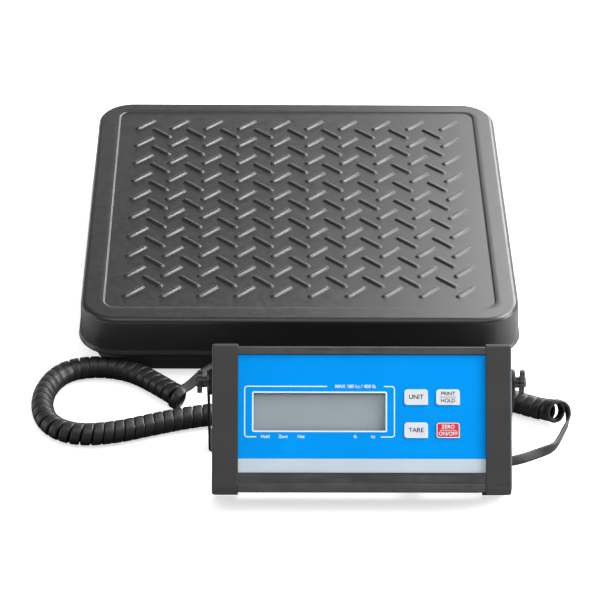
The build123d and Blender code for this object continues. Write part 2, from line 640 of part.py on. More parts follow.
with BuildPart() as front_panel:
    with BuildSketch(FACE.offset(PANEL_BACK)):
        with Locations((0, (PANEL_LOW + PANEL_HIGH) / 2)):
            Rectangle(2 * BODY_HALF - 0.4, PANEL_HIGH - PANEL_LOW)
        with Locations((LCD_U, LCD_V)):
            Rectangle(LCD_LENGTH, LCD_HEIGHT, mode=Mode.SUBTRACT)
        with Locations(*KEY_PLACES):
            add(KEY_OPENING, mode=Mode.SUBTRACT)
    extrude(amount=PANEL_FRONT - PANEL_BACK)
save(front_panel, "front_panel")

with BuildPart() as keypad_label:
    with BuildSketch(FACE.offset(PANEL_FRONT)):
        with Locations((0, (STRIP_HIGH + FACE_HIGH - LABEL_GAP) / 2)):
            Rectangle(2 * BODY_HALF - 0.4, FACE_HIGH - LABEL_GAP - STRIP_HIGH)
        with Locations((LCD_U, LCD_V)):
            Rectangle(LCD_LENGTH, LCD_HEIGHT, mode=Mode.SUBTRACT)
        with Locations(*KEY_PLACES):
            add(KEY_OPENING, mode=Mode.SUBTRACT)
    extrude(amount=SHEET_LABEL)
save(keypad_label, "keypad_label")

with BuildPart() as trim_strip:
    with BuildSketch(FACE.offset(PANEL_FRONT)):
        with Locations((0, (FACE_LOW + LABEL_GAP + STRIP_HIGH) / 2)):
            Rectangle(2 * BODY_HALF - 0.4, STRIP_HIGH - FACE_LOW - LABEL_GAP)
    extrude(amount=SHEET_LABEL)
save(trim_strip, "trim_strip")

WINDOW_BACK = 34.3
WINDOW_SHEET = 0.8
with BuildPart() as lcd_window:
    with BuildSketch(FACE.offset(WINDOW_BACK)):
        with Locations((LCD_U, LCD_V)):
            Rectangle(LCD_LENGTH - 0.2, LCD_HEIGHT - 0.2)
    extrude(amount=WINDOW_SHEET)
save(lcd_window, "lcd_window")

BOARD_BACK = 27.4
BOARD_FRONT = BOARD_BACK + BOARD_SHEET
LCD_GLASS = 2.0
LCD_MARGIN = 4.0
with BuildPart() as lcd_glass:
    with BuildSketch(FACE.offset(PANEL_BACK - LCD_GLASS)):
        with Locations((LCD_U, LCD_V)):
            Rectangle(LCD_LENGTH + LCD_MARGIN, LCD_HEIGHT + LCD_MARGIN)
    extrude(amount=LCD_GLASS)
save(lcd_glass, "lcd_glass")

with BuildPart() as lcd_holder:
    with BuildSketch(FACE.offset(BOARD_FRONT)):
        with Locations((LCD_U, LCD_V)):
            Rectangle(LCD_LENGTH + 2 * LCD_MARGIN, LCD_HEIGHT + 2 * LCD_MARGIN)
    extrude(amount=PANEL_BACK - BOARD_FRONT)
    with BuildSketch(FACE.offset(PANEL_BACK)):
        with Locations((LCD_U, LCD_V)):
            Rectangle(LCD_LENGTH + LCD_MARGIN + 0.2, LCD_HEIGHT + LCD_MARGIN + 0.2)
    extrude(amount=-LCD_GLASS, mode=Mode.SUBTRACT)
save(lcd_holder, "lcd_holder")

# ---------------------------------------------------------------- display electronics
BOARD_LENGTH = 160.0
BOARD_HEIGHT = 74.0
BOARD_V = 52.0
BOARD_POSTS = [(x * (BOARD_LENGTH / 2 - 5), BOARD_V + y * (BOARD_HEIGHT / 2 - 5))
               for x in (-1, 1) for y in (-1, 1)]

with BuildPart() as board_posts:
    with BuildSketch(FACE.offset(HOUSING_INSIDE)):
        with Locations(*BOARD_POSTS):
            Circle(POST_RADIUS + 0.5)
            Circle(SMALL_SCREW + FIT, mode=Mode.SUBTRACT)
    extrude(amount=BOARD_BACK - HOUSING_INSIDE)
save(board_posts, "board_posts")

with BuildPart() as main_board:
    with BuildSketch(FACE.offset(BOARD_BACK)):
        with Locations((0, BOARD_V)):
            Rectangle(BOARD_LENGTH, BOARD_HEIGHT)
        with Locations(*BOARD_POSTS):
            Circle(SMALL_SCREW + 2 * FIT, mode=Mode.SUBTRACT)
    extrude(amount=BOARD_SHEET)
save(main_board, "main_board")

board_screws = screws(FACE.offset(BOARD_FRONT), BOARD_POSTS, SMALL_SCREW_HEAD, 1.6, SMALL_SCREW,
                      BOARD_SHEET + 6)
save(board_screws, "board_screws")

SWITCH_TOP = PANEL_BACK - 1.0
ACTUATOR_TOP = SWITCH_TOP + 0.8
with BuildPart() as key_switches:
    with BuildSketch(FACE.offset(BOARD_FRONT)):
        with Locations(*KEY_PLACES):
            Rectangle(6.0, 6.0)
    extrude(amount=SWITCH_TOP - BOARD_FRONT)
    with BuildSketch(FACE.offset(SWITCH_TOP)):
        with Locations(*KEY_PLACES):
            Circle(1.7)
    extrude(amount=ACTUATOR_TOP - SWITCH_TOP)
save(key_switches, "key_switches")

KEY_BACK = 35.0
KEY_FRONT = PANEL_FRONT + SHEET_LABEL + KEY_PROUD


def key(u, v, name):
    """One key: a plate through the panel with a plunger over its switch."""
    with BuildPart() as cap:
        with BuildSketch(FACE.offset(KEY_BACK)):
            with Locations((u, v)):
                add(KEY_SHAPE)
        extrude(amount=KEY_FRONT - KEY_BACK)
        with BuildSketch(FACE.offset(KEY_BACK)):
            with Locations((u, v)):
                Circle(2.0)
        extrude(amount=-(KEY_BACK - ACTUATOR_TOP - KEY_TRAVEL - FIT))
    save(cap, name)


key(KEY_U[0], KEY_V[0], "unit_key")
key(KEY_U[1], KEY_V[0], "hold_key")
key(KEY_U[0], KEY_V[1], "tare_key")
key(KEY_U[1], KEY_V[1], "zero_key")

# ---------------------------------------------------------------- battery bay
CELL_AA_RADIUS = 7.2
CELL_AA_LENGTH = 50.5
CELL_AA_COUNT = 4
CELL_AA_PITCH = 15.2
BAY_BACK = 4.2
BAY_WALL = 1.2
BAY_LENGTH = 57.0
BAY_HEIGHT = CELL_AA_COUNT * CELL_AA_PITCH + 1.6
BAY_DEPTH = 17.4
AA_W = BAY_BACK + 0.3 + CELL_AA_RADIUS
AA_END = side_plane(DOOR_U - CELL_AA_LENGTH / 2)
AA_PLACES = [(DOOR_V + (i - (CELL_AA_COUNT - 1) / 2) * CELL_AA_PITCH, AA_W)
             for i in range(CELL_AA_COUNT)]
CONTACT_SHEET = 0.4

with BuildPart() as battery_bay:
    with BuildSketch(FACE.offset(BAY_BACK)):
        with Locations((DOOR_U, DOOR_V)):
            Rectangle(BAY_LENGTH + 2 * BAY_WALL, BAY_HEIGHT + 2 * BAY_WALL)
    extrude(amount=BAY_DEPTH)
    with BuildSketch(FACE.offset(BAY_BACK)):
        with Locations((DOOR_U, DOOR_V)):
            Rectangle(BAY_LENGTH, BAY_HEIGHT)
    extrude(amount=BAY_DEPTH - BAY_WALL, mode=Mode.SUBTRACT)
save(battery_bay, "battery_bay")

with BuildPart() as batteries:
    with BuildSketch(AA_END):
        with Locations(*AA_PLACES):
            Circle(CELL_AA_RADIUS)
    extrude(amount=CELL_AA_LENGTH - 1)
    with BuildSketch(AA_END.offset(CELL_AA_LENGTH - 1)):
        with Locations(*AA_PLACES):
            Circle(2.7)
    extrude(amount=1)
save(batteries, "batteries")

with BuildPart() as battery_contacts:
    for end in (-1, 1):
        with BuildSketch(side_plane(DOOR_U + end * (BAY_LENGTH / 2 - CONTACT_SHEET))):
            with Locations(*AA_PLACES):
                Rectangle(11, 10)
        extrude(amount=end * CONTACT_SHEET)
save(battery_contacts, "battery_contacts")

with BuildPart() as battery_door:
    with BuildSketch(FACE.offset(HOUSING_BACK)):
        with Locations((DOOR_U, DOOR_V)):
            RectangleRounded(DOOR_LENGTH - 2 * DOOR_GAP, DOOR_HEIGHT - 2 * DOOR_GAP, 0.6)
    extrude(amount=HOUSING_WALL)
save(battery_door, "battery_door")

# ---------------------------------------------------------------- sockets and cord entries
with BuildPart() as serial_port:
    with BuildSketch(FACE.offset(HOUSING_BACK)):
        with Locations((PORT_U, PORT_V)):
            RectangleRounded(31.0, 12.6, 2.0)
    extrude(amount=-1.0)
    with BuildSketch(FACE.offset(HOUSING_BACK)):
        with Locations((PORT_U, PORT_V)):
            RectangleRounded(17.0, 8.4, 2.0)
    extrude(amount=-6.0)
    with BuildSketch(FACE.offset(HOUSING_BACK)):
        with Locations((PORT_U, PORT_V)):
            RectangleRounded(20.0, 11.0, 1.0)
    extrude(amount=9.0)
    with BuildSketch(FACE.offset(HOUSING_BACK - 6.0)):
        with Locations((PORT_U, PORT_V)):
            RectangleRounded(15.8, 7.2, 1.6)
    extrude(amount=4.5, mode=Mode.SUBTRACT)
save(serial_port, "serial_port")

with BuildPart() as power_jack:
    with BuildSketch(FACE.offset(HOUSING_BACK)):
        with Locations((JACK_U, JACK_V)):
            Circle(7.0)
    extrude(amount=-1.2)
    with BuildSketch(FACE.offset(HOUSING_BACK)):
        with Locations((JACK_U, JACK_V)):
            Circle(5.5)
    extrude(amount=11.0)
    with BuildSketch(FACE.offset(HOUSING_BACK - 1.2)):
        with Locations((JACK_U, JACK_V)):
            Circle(2.8)
    extrude(amount=9.5, mode=Mode.SUBTRACT)
    with BuildSketch(FACE.offset(HOUSING_BACK - 0.2)):
        with Locations((JACK_U, JACK_V)):
            Circle(1.0)
    extrude(amount=8.5)
save(power_jack, "power_jack")

with BuildPart() as display_boot:
    with BuildSketch(FACE.offset(HOUSING_BACK)):
        with Locations((ENTRY_U, ENTRY_V)):
            Circle(7.0)
    extrude(amount=-BOOT_FLANGE)
    with BuildSketch(FACE.offset(HOUSING_BACK)):
        with Locations((ENTRY_U, ENTRY_V)):
            Circle(ENTRY_NECK)
    extrude(amount=HOUSING_WALL + 2.0)
    with BuildSketch(FACE.offset(HOUSING_BACK - BOOT_FLANGE)):
        with Locations((ENTRY_U, ENTRY_V)):
            Circle(5.6)
    with BuildSketch(FACE.offset(-BOOT_LENGTH)):
        with Locations((ENTRY_U, ENTRY_V)):
            Circle(BOOT_TIP)
    loft()
save(display_boot, "display_boot")

GLAND_ELBOW = Plane(origin=(GLAND_X, PLATFORM_Y - BASE_SIDE / 2 - GLAND_OUT, GLAND_Z),
                    x_dir=(0, 1, 0), z_dir=(-1, 0, 0))
with BuildPart() as platform_boot:
    with BuildSketch(GLAND_WALL):
        Circle(GLAND_NECK + 2.3)
    extrude(amount=BOOT_FLANGE)
    with BuildSketch(GLAND_WALL.offset(-BASE_SHEET - 2.0)):
        Circle(GLAND_NECK)
    extrude(amount=BASE_SHEET + 2.0 + GLAND_OUT + BOOT_ROOT + 1.0)
    with BuildSketch(GLAND_ELBOW):
        Circle(BOOT_ROOT)
    with BuildSketch(GLAND_ELBOW.offset(GLAND_REACH)):
        Circle(BOOT_TIP)
    loft()
save(platform_boot, "platform_boot")

# ---------------------------------------------------------------- tilting bracket
PIVOT = face_point(0, PIVOT_V, PIVOT_W)
STRAP_SIN = sin(radians(STRAP_LEAN))
STRAP_COS = cos(radians(STRAP_LEAN))
LEG_LENGTH = (PIVOT.Z - STRAP_WIDTH / 2 * STRAP_SIN) / STRAP_COS - STRAP_SHEET
LEG_INNER = DISPLAY_WIDTH / 2 + WASHER_SHEET
LEG_OUTER = LEG_INNER + STRAP_SHEET
LEG_TOP = STRAP_WIDTH / 2
UP_LEG = Vector(0, -STRAP_SIN, STRAP_COS)
STRAP_PLANE = Plane(origin=PIVOT, x_dir=(1, 0, 0), z_dir=(0, -STRAP_COS, -STRAP_SIN))
CROSSBAR_PLANE = Plane(origin=PIVOT - UP_LEG * LEG_LENGTH, x_dir=(1, 0, 0), z_dir=UP_LEG)

with BuildPart() as bracket:
    with BuildSketch(STRAP_PLANE):
        with BuildLine():
            FilletPolyline((-LEG_OUTER, LEG_TOP), (-LEG_OUTER, -LEG_LENGTH - STRAP_SHEET),
                           (LEG_OUTER, -LEG_LENGTH - STRAP_SHEET), (LEG_OUTER, LEG_TOP),
                           radius=STRAP_BEND)
            Line((LEG_OUTER, LEG_TOP), (LEG_INNER, LEG_TOP))
            FilletPolyline((LEG_INNER, LEG_TOP), (LEG_INNER, -LEG_LENGTH),
                           (-LEG_INNER, -LEG_LENGTH), (-LEG_INNER, LEG_TOP),
                           radius=STRAP_BEND - STRAP_SHEET)
            Line((-LEG_INNER, LEG_TOP), (-LEG_OUTER, LEG_TOP))
        make_face()
    extrude(amount=STRAP_WIDTH / 2, both=True)
    leg_corners = bracket.edges().filter_by(Axis.X).sort_by(Axis.Z)
    fillet(leg_corners.filter_by(lambda e: e.length < STRAP_SHEET + 1 and e.center().Z > PIVOT.Z - 4),
           STRAP_WIDTH / 2 - 0.1)
    with BuildSketch(side_plane(-LEG_OUTER)):
        with Locations((PIVOT_V, PIVOT_W)):
            Circle(STUD_RADIUS + 0.2)
    extrude(amount=2 * LEG_OUTER, mode=Mode.SUBTRACT)
    with BuildSketch(CROSSBAR_PLANE):
        with Locations((-BRACKET_HOLES / 2, 0), (BRACKET_HOLES / 2, 0)):
            Circle(BRACKET_HOLE_RADIUS)
    extrude(amount=-STRAP_SHEET, mode=Mode.SUBTRACT)
save(bracket, "bracket")

with BuildPart() as pivot_washers:
    for side in (-1, 1):
        with BuildSketch(side_plane(side * DISPLAY_WIDTH / 2)):
            with Locations((PIVOT_V, PIVOT_W)):
                Circle(WASHER_RADIUS)
                Circle(STUD_RADIUS + 0.2, mode=Mode.SUBTRACT)
        extrude(amount=side * WASHER_SHEET)
save(pivot_washers, "pivot_washers")


def wing_knob(side, turn, name):
    """Wing knob with its stud through the bracket's leg and into the end cap."""
    with BuildPart() as knob:
        with BuildSketch(side_plane(side * LEG_OUTER)):
            with Locations((PIVOT_V, PIVOT_W)):
                Circle(KNOB_BARREL_RADIUS)
        extrude(amount=side * KNOB_BARREL)
        with BuildSketch(side_plane(side * (LEG_OUTER + KNOB_BARREL))):
            with Locations((PIVOT_V, PIVOT_W)):
                SlotOverall(WING_SPAN, WING_HEIGHT, rotation=turn)
                Circle(KNOB_HUB_RADIUS)
        extrude(amount=side * KNOB_WING)
        outer = knob.faces().sort_by(Axis.X)[-1 if side > 0 else 0]
        fillet(outer.edges(), KNOB_EDGE)
        with BuildSketch(side_plane(side * (LEG_OUTER + KNOB_BARREL + KNOB_WING))):
            with Locations((PIVOT_V, PIVOT_W)):
                Circle(KNOB_CROWN_RADIUS)
        extrude(amount=side * KNOB_CROWN, taper=30)
        with BuildSketch(side_plane(side * LEG_OUTER)):
            with Locations((PIVOT_V, PIVOT_W)):
                Circle(STUD_RADIUS)
        extrude(amount=-side * (LEG_OUTER - DISPLAY_WIDTH / 2 + STUD_IN))
    save(knob, name)


wing_knob(-1, -38, "left_knob")
wing_knob(1, 34, "right_knob")

# ---------------------------------------------------------------- cord
BOOT_END = face_point(ENTRY_U, ENTRY_V, -BOOT_LENGTH)
PAST_BOOT = face_point(ENTRY_U, ENTRY_V, -BOOT_LENGTH - 7.6)
GLAND_END = GLAND_ELBOW.from_local_coords(Vector(0, 0, GLAND_REACH))
PAST_GLAND = GLAND_ELBOW.from_local_coords(Vector(0, 0, GLAND_REACH + 9.5))
COIL_ROUTE = [(-88, -114), (-106.5, -92), (-126, -77.5), (-150, -73), (-172, -79.5),
              (-184, -100.5), (-186, -125.5), (-178, -147), (-158.5, -158), (-132, -155),
              (-104, -144.5), (-72, -134), (-25, -126.5), (25, -120), (75, -112), (122, -107.5),
              (149, -112), (162, -121), (172, -127), (181.5, -128.5)]
cord_tube([(x, y, COIL_Z) for x, y in COIL_ROUTE], COIL_RADIUS, "curly_coil")
cord_tube([tuple(GLAND_END), tuple(PAST_GLAND), (-68.5, -80, 12.6), (-75.5, -90.5, 11.8),
           (-81, -101.5, 12.2), (-85.3, -108.6, 13.3), (-89.5, -112, 13.9)],
          CORD_WIDTH / 2, "platform_lead")
cord_tube([tuple(BOOT_END), tuple(PAST_BOOT), (89.5, -175.6, 4.0), (99, -171.5, LEAD_Z),
           (114, -173.5, LEAD_Z), (132, -180.5, LEAD_Z), (150, -178.5, LEAD_Z),
           (168, -167.5, LEAD_Z), (179.5, -158.5, LEAD_Z), (186, -144, LEAD_Z),
           (189.5, -134.5, 5.0), (191, -128, 8.0)], CORD_WIDTH / 2, "display_lead")
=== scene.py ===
"""Looks of the platform shipping scale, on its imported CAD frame. Metres, +Z up, the display towards -Y."""
from math import ceil, cos, pi, radians, sin

import bmesh
import bpy
from mathutils import Matrix, Vector


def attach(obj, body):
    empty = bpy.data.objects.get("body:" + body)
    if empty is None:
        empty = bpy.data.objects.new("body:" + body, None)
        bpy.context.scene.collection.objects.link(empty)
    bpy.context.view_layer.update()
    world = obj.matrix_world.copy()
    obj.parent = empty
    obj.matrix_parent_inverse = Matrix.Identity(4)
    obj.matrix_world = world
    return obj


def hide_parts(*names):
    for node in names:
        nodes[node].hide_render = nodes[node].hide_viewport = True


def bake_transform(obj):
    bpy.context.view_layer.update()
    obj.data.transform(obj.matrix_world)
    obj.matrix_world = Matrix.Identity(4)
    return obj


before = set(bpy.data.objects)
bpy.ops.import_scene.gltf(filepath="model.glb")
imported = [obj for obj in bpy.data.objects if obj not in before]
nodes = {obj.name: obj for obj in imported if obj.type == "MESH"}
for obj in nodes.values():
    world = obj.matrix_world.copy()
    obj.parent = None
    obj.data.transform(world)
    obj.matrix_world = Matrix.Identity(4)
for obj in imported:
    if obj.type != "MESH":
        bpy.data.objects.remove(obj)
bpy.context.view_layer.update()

MM = 0.001
UP = Vector((0, 0, 1))
SCENE = bpy.context.scene

# the display's face: u to the right, v up the face, w out of it, all in millimetres
FACE_ORIGIN = Vector((40.4, -216.0, 0.0))
FACE_LEAN = radians(38)
FACE_UP = Vector((0, sin(FACE_LEAN), cos(FACE_LEAN)))
FACE_OUT = Vector((0, -cos(FACE_LEAN), sin(FACE_LEAN)))
LABEL_W = 36.4               # the label's surface
KEY_W = 36.8                 # the keys' tops
PRINT = 0.03                 # print, and the painted shadow on the LCD, stand this far proud


# ---------------------------------------------------------------- helpers
def face(u, v, w):
    """A point on the display, in metres."""
    return (FACE_ORIGIN + Vector((u, 0, 0)) + FACE_UP * v + FACE_OUT * w) * MM


def add_object(name, data):
    piece = bpy.data.objects.new(name, data)
    SCENE.collection.objects.link(piece)
    return piece


def mesh_object(name, points, faces, smooth=True):
    mesh = bpy.data.meshes.new(name)
    mesh.from_pydata([tuple(point) for point in points], [], faces)
    mesh.validate()
    for polygon in mesh.polygons:
        polygon.use_smooth = smooth
    return add_object(name, mesh)


def bridge(faces, first, second, count):
    """Quads between two closed rings of count points that start at first and second."""
    for step in range(count):
        after = (step + 1) % count
        faces.append((first + step, first + after, second + after, second + step))


def rounded_square(half_x, half_y, radius, steps, last_radius=None):
    """Outline of a rounded rectangle about the middle, anticlockwise from its upper right corner.

    last_radius is the lower right corner's, where it differs.
    """
    outline = []
    for corner, (side_x, side_y) in enumerate(((1, 1), (-1, 1), (-1, -1), (1, -1))):
        if corner == 3 and last_radius:
            radius = last_radius
        for step in range(steps + 1):
            turn = pi / 2 * (corner + step / steps)
            outline.append((side_x * (half_x - radius) + radius * cos(turn),
                            side_y * (half_y - radius) + radius * sin(turn)))
    return outline


def stadium(length, width, steps):
    """Outline of a slot, anticlockwise, with steps on each round end."""
    outline = []
    for end in (1, -1):
        for step in range(steps + 1):
            turn = radians(-90) + pi * step / steps
            outline.append((end * ((length - width) / 2 + width / 2 * cos(turn)),
                            end * width / 2 * sin(turn)))
    return outline


def smooth_step(t):
    """0 up to 0 and 1 from 1, with an even S between them."""
    t = min(max(t, 0.0), 1.0)
    return t * t * (3 - 2 * t)


# ---------------------------------------------------------------- camera
CAMERA_PLACE = Vector((-27.58, -1707.03, 1152.98)) * MM
CAMERA_DOWN = radians(33.6082)
CAMERA_YAW = radians(-0.9536)
CAMERA_ROLL = radians(0.6838)
CAMERA_LENS = 163.2


def make_camera():
    forward = Vector((-sin(CAMERA_YAW) * cos(CAMERA_DOWN), cos(CAMERA_YAW) * cos(CAMERA_DOWN),
                      -sin(CAMERA_DOWN)))
    level = Vector((cos(CAMERA_YAW), sin(CAMERA_YAW), 0))
    rise = level.cross(forward)
    across = level * cos(CAMERA_ROLL) + rise * sin(CAMERA_ROLL)
    above = rise * cos(CAMERA_ROLL) - level * sin(CAMERA_ROLL)
    camera_data = bpy.data.cameras.new("camera")
    camera_data.lens = CAMERA_LENS
    camera_data.sensor_width = 36
    camera_data.clip_end = 20
    camera = add_object("camera", camera_data)
    turn = Matrix((across, above, -forward)).transposed().to_4x4()
    camera.matrix_world = Matrix.Translation(CAMERA_PLACE) @ turn
    SCENE.camera = camera


make_camera()


# ---------------------------------------------------------------- materials
# a Mix node has its colour sockets under the same names as its others, so they go by number
MIX_FACTOR = 0
MIX_A = 6
MIX_B = 7
MIX_RESULT = 2


class Shader:
    """A node material on object coordinates, around one Principled BSDF."""

    def __init__(self, name, color, roughness, **sockets):
        self.material = bpy.data.materials.new(name)
        self.material.use_nodes = True
        self.tree = self.material.node_tree
        self.bsdf = self.tree.nodes["Principled BSDF"]
        self.color = color
        self.bsdf.inputs["Base Color"].default_value = (*color, 1)
        self.bsdf.inputs["Roughness"].default_value = roughness
        for socket, value in sockets.items():
            self.bsdf.inputs[socket.replace("_", " ")].default_value = value
        self.place = self.node("TexCoord")
        self.tint = None
        self.normal = None

    def node(self, kind, **settings):
        made = self.tree.nodes.new("ShaderNode" + kind)
        for key, value in settings.items():
            setattr(made, key, value)
        return made

    def link(self, source, target):
        self.tree.links.new(source, target)

    def noise(self, scale, detail=3.0, stretch=(1, 1, 1)):
        """A noise value with features about 1 / scale metres across."""
        mapping = self.node("Mapping")
        mapping.inputs["Scale"].default_value = stretch
        texture = self.node("TexNoise")
        texture.inputs["Scale"].default_value = scale
        texture.inputs["Detail"].default_value = detail
        self.link(self.place.outputs["Object"], mapping.inputs["Vector"])
        self.link(mapping.outputs["Vector"], texture.inputs["Vector"])
        return texture.outputs["Fac"]

    def spread(self, value, low, high, start=0.3, end=0.7):
        """The value spread from low to high."""
        remap = self.node("MapRange")
        remap.inputs["From Min"].default_value = start
        remap.inputs["From Max"].default_value = end
        remap.inputs["To Min"].default_value = low
        remap.inputs["To Max"].default_value = high
        self.link(value, remap.inputs["Value"])
        return remap.outputs["Result"]

    def mottle(self, scale, amount, stretch=(1, 1, 1)):
        """Colour a little darker and lighter from place to place."""
        mix = self.node("Mix", data_type="RGBA")
        mix.inputs[MIX_A].default_value = (*[c * (1 - amount) for c in self.color], 1)
        mix.inputs[MIX_B].default_value = (*[min(c * (1 + amount), 1) for c in self.color], 1)
        self.link(self.spread(self.noise(scale, 4, stretch), 0, 1), mix.inputs[MIX_FACTOR])
        self.tint = mix.outputs[MIX_RESULT]
        self.link(self.tint, self.bsdf.inputs["Base Color"])
        return self

    def rough(self, scale, low, high, stretch=(1, 1, 1)):
        self.link(self.spread(self.noise(scale, 3, stretch), low, high), self.bsdf.inputs["Roughness"])
        return self

    def soften(self, radius):
        """Edges caught by the light as if rounded to this radius."""
        bevel = self.node("Bevel", samples=4)
        bevel.inputs["Radius"].default_value = radius
        self.normal = bevel.outputs["Normal"]
        self.link(self.normal, self.bsdf.inputs["Normal"])
        return self

    def bump(self, height, depth, strength=1.0):
        node = self.node("Bump")
        node.inputs["Strength"].default_value = strength
        node.inputs["Distance"].default_value = depth
        self.link(height, node.inputs["Height"])
        if self.normal:
            self.link(self.normal, node.inputs["Normal"])
        self.normal = node.outputs["Normal"]
        self.link(self.normal, self.bsdf.inputs["Normal"])
        return self

    def wear(self, radius, color, amount):
        """Paint or plastic rubbed lighter along its edges."""
        bevel = self.node("Bevel", samples=4)
        bevel.inputs["Radius"].default_value = radius
        geometry = self.node("NewGeometry")
        dot = self.node("VectorMath", operation="DOT_PRODUCT")
        self.link(bevel.outputs["Normal"], dot.inputs[0])
        self.link(geometry.outputs["Normal"], dot.inputs[1])
        edge = self.spread(dot.outputs["Value"], amount, 0, 0.75, 0.98)
        patchy = self.node("Math", operation="MULTIPLY")
        self.link(edge, patchy.inputs[0])
        self.link(self.spread(self.noise(90), 0, 1), patchy.inputs[1])
        mix = self.node("Mix", data_type="RGBA")
        mix.inputs[MIX_B].default_value = (*color, 1)
        self.link(self.tint, mix.inputs[MIX_A])
        self.link(patchy.outputs[0], mix.inputs[MIX_FACTOR])
        self.link(mix.outputs[MIX_RESULT], self.bsdf.inputs["Base Color"])
        return self


def powder_coat(name, color, roughness, edge=0.0006, rubbed=0.3):
    """Baked paint with its fine orange peel."""
    paint = Shader(name, color, roughness, Coat_Weight=0.15, Coat_Roughness=0.3)
    paint.mottle(60, 0.10)
    paint.rough(220, roughness - 0.04, roughness + 0.05)
    paint.wear(edge, [min(c * 1.8 + 0.02, 1) for c in color], rubbed)
    paint.soften(edge)
    paint.bump(paint.noise(900, 2), 0.00003, 0.35)
    return paint.material


def moulded(name, color, roughness, grain=1600, depth=0.00002, edge=0.0003):
    """Injection-moulded plastic with a spark-eroded texture."""
    plastic = Shader(name, color, roughness)
    plastic.mottle(45, 0.07)
    plastic.rough(300, roughness - 0.05, roughness + 0.06)
    plastic.wear(edge, [min(c * 1.5 + 0.01, 1) for c in color], 0.3)
    plastic.soften(edge)
    plastic.bump(plastic.noise(grain, 2), depth, 0.5)
    return plastic.material


def rubber(name, color):
    """Matt rubber, a little dusty."""
    soft = Shader(name, color, 0.72, Specular_IOR_Level=0.35)
    soft.mottle(120, 0.25)
    soft.rough(260, 0.62, 0.82)
    soft.soften(0.0004)
    soft.bump(soft.noise(1300, 4), 0.00004, 0.6)
    return soft.material


def metal(name, color, roughness, stretch=(1, 1, 1), grain=500):
    """Bare or plated metal, brushed where stretch runs it along one way."""
    bare = Shader(name, color, roughness, Metallic=1.0)
    bare.mottle(80, 0.12)
    bare.rough(grain, roughness - 0.08, roughness + 0.1, stretch)
    bare.soften(0.00025)
    bare.bump(bare.noise(grain * 2, 3, stretch), 0.00001, 0.4)
    return bare.material


def printed(name, color, roughness=0.38):
    """Ink or a printed film, nearly smooth; also the painted shadow along the top of the LCD."""
    film = Shader(name, color, roughness, Specular_IOR_Level=0.04)
    film.mottle(30, 0.03)
    film.rough(500, roughness - 0.04, roughness + 0.05)
    film.bump(film.noise(1800, 2), 0.000006, 0.35)
    return film.material


def circuit_board():
    """Green solder mask over its copper tracks."""
    board = Shader("circuit_board", (0.01, 0.09, 0.03), 0.3, Coat_Weight=0.3)
    tracks = board.node("TexBrick", offset=0.37, squash=0.6)
    tracks.inputs["Scale"].default_value = 220
    tracks.inputs["Color1"].default_value = (0.012, 0.10, 0.035, 1)
    tracks.inputs["Color2"].default_value = (0.008, 0.075, 0.025, 1)
    tracks.inputs["Mortar"].default_value = (0.03, 0.19, 0.06, 1)
    tracks.inputs["Mortar Size"].default_value = 0.04
    board.link(board.place.outputs["Object"], tracks.inputs["Vector"])
    board.link(tracks.outputs["Color"], board.bsdf.inputs["Base Color"])
    board.rough(400, 0.25, 0.4)
    board.bump(tracks.outputs["Fac"], 0.00004, 0.4)
    return board.material


def window_film():
    """Clear window with the faintest grey."""
    clear = Shader("window_clear", (0.75, 0.8, 0.82), 0.12, Alpha=0.12)
    clear.rough(300, 0.08, 0.16)
    clear.bump(clear.noise(700, 2), 0.000005, 0.2)
    return clear.material


def lcd_glass():
    """Reflective LCD at rest, with its fine cell pattern."""
    glass = Shader("lcd_grey", (0.185, 0.255, 0.28), 0.32, Coat_Weight=0.35, Coat_Roughness=0.08)
    glass.mottle(25, 0.05)
    cells = glass.node("TexChecker")
    cells.inputs["Scale"].default_value = 2600
    glass.link(glass.place.outputs["Object"], cells.inputs["Vector"])
    glass.rough(400, 0.28, 0.38)
    glass.bump(cells.outputs["Fac"], 0.000003, 0.25)
    return glass.material


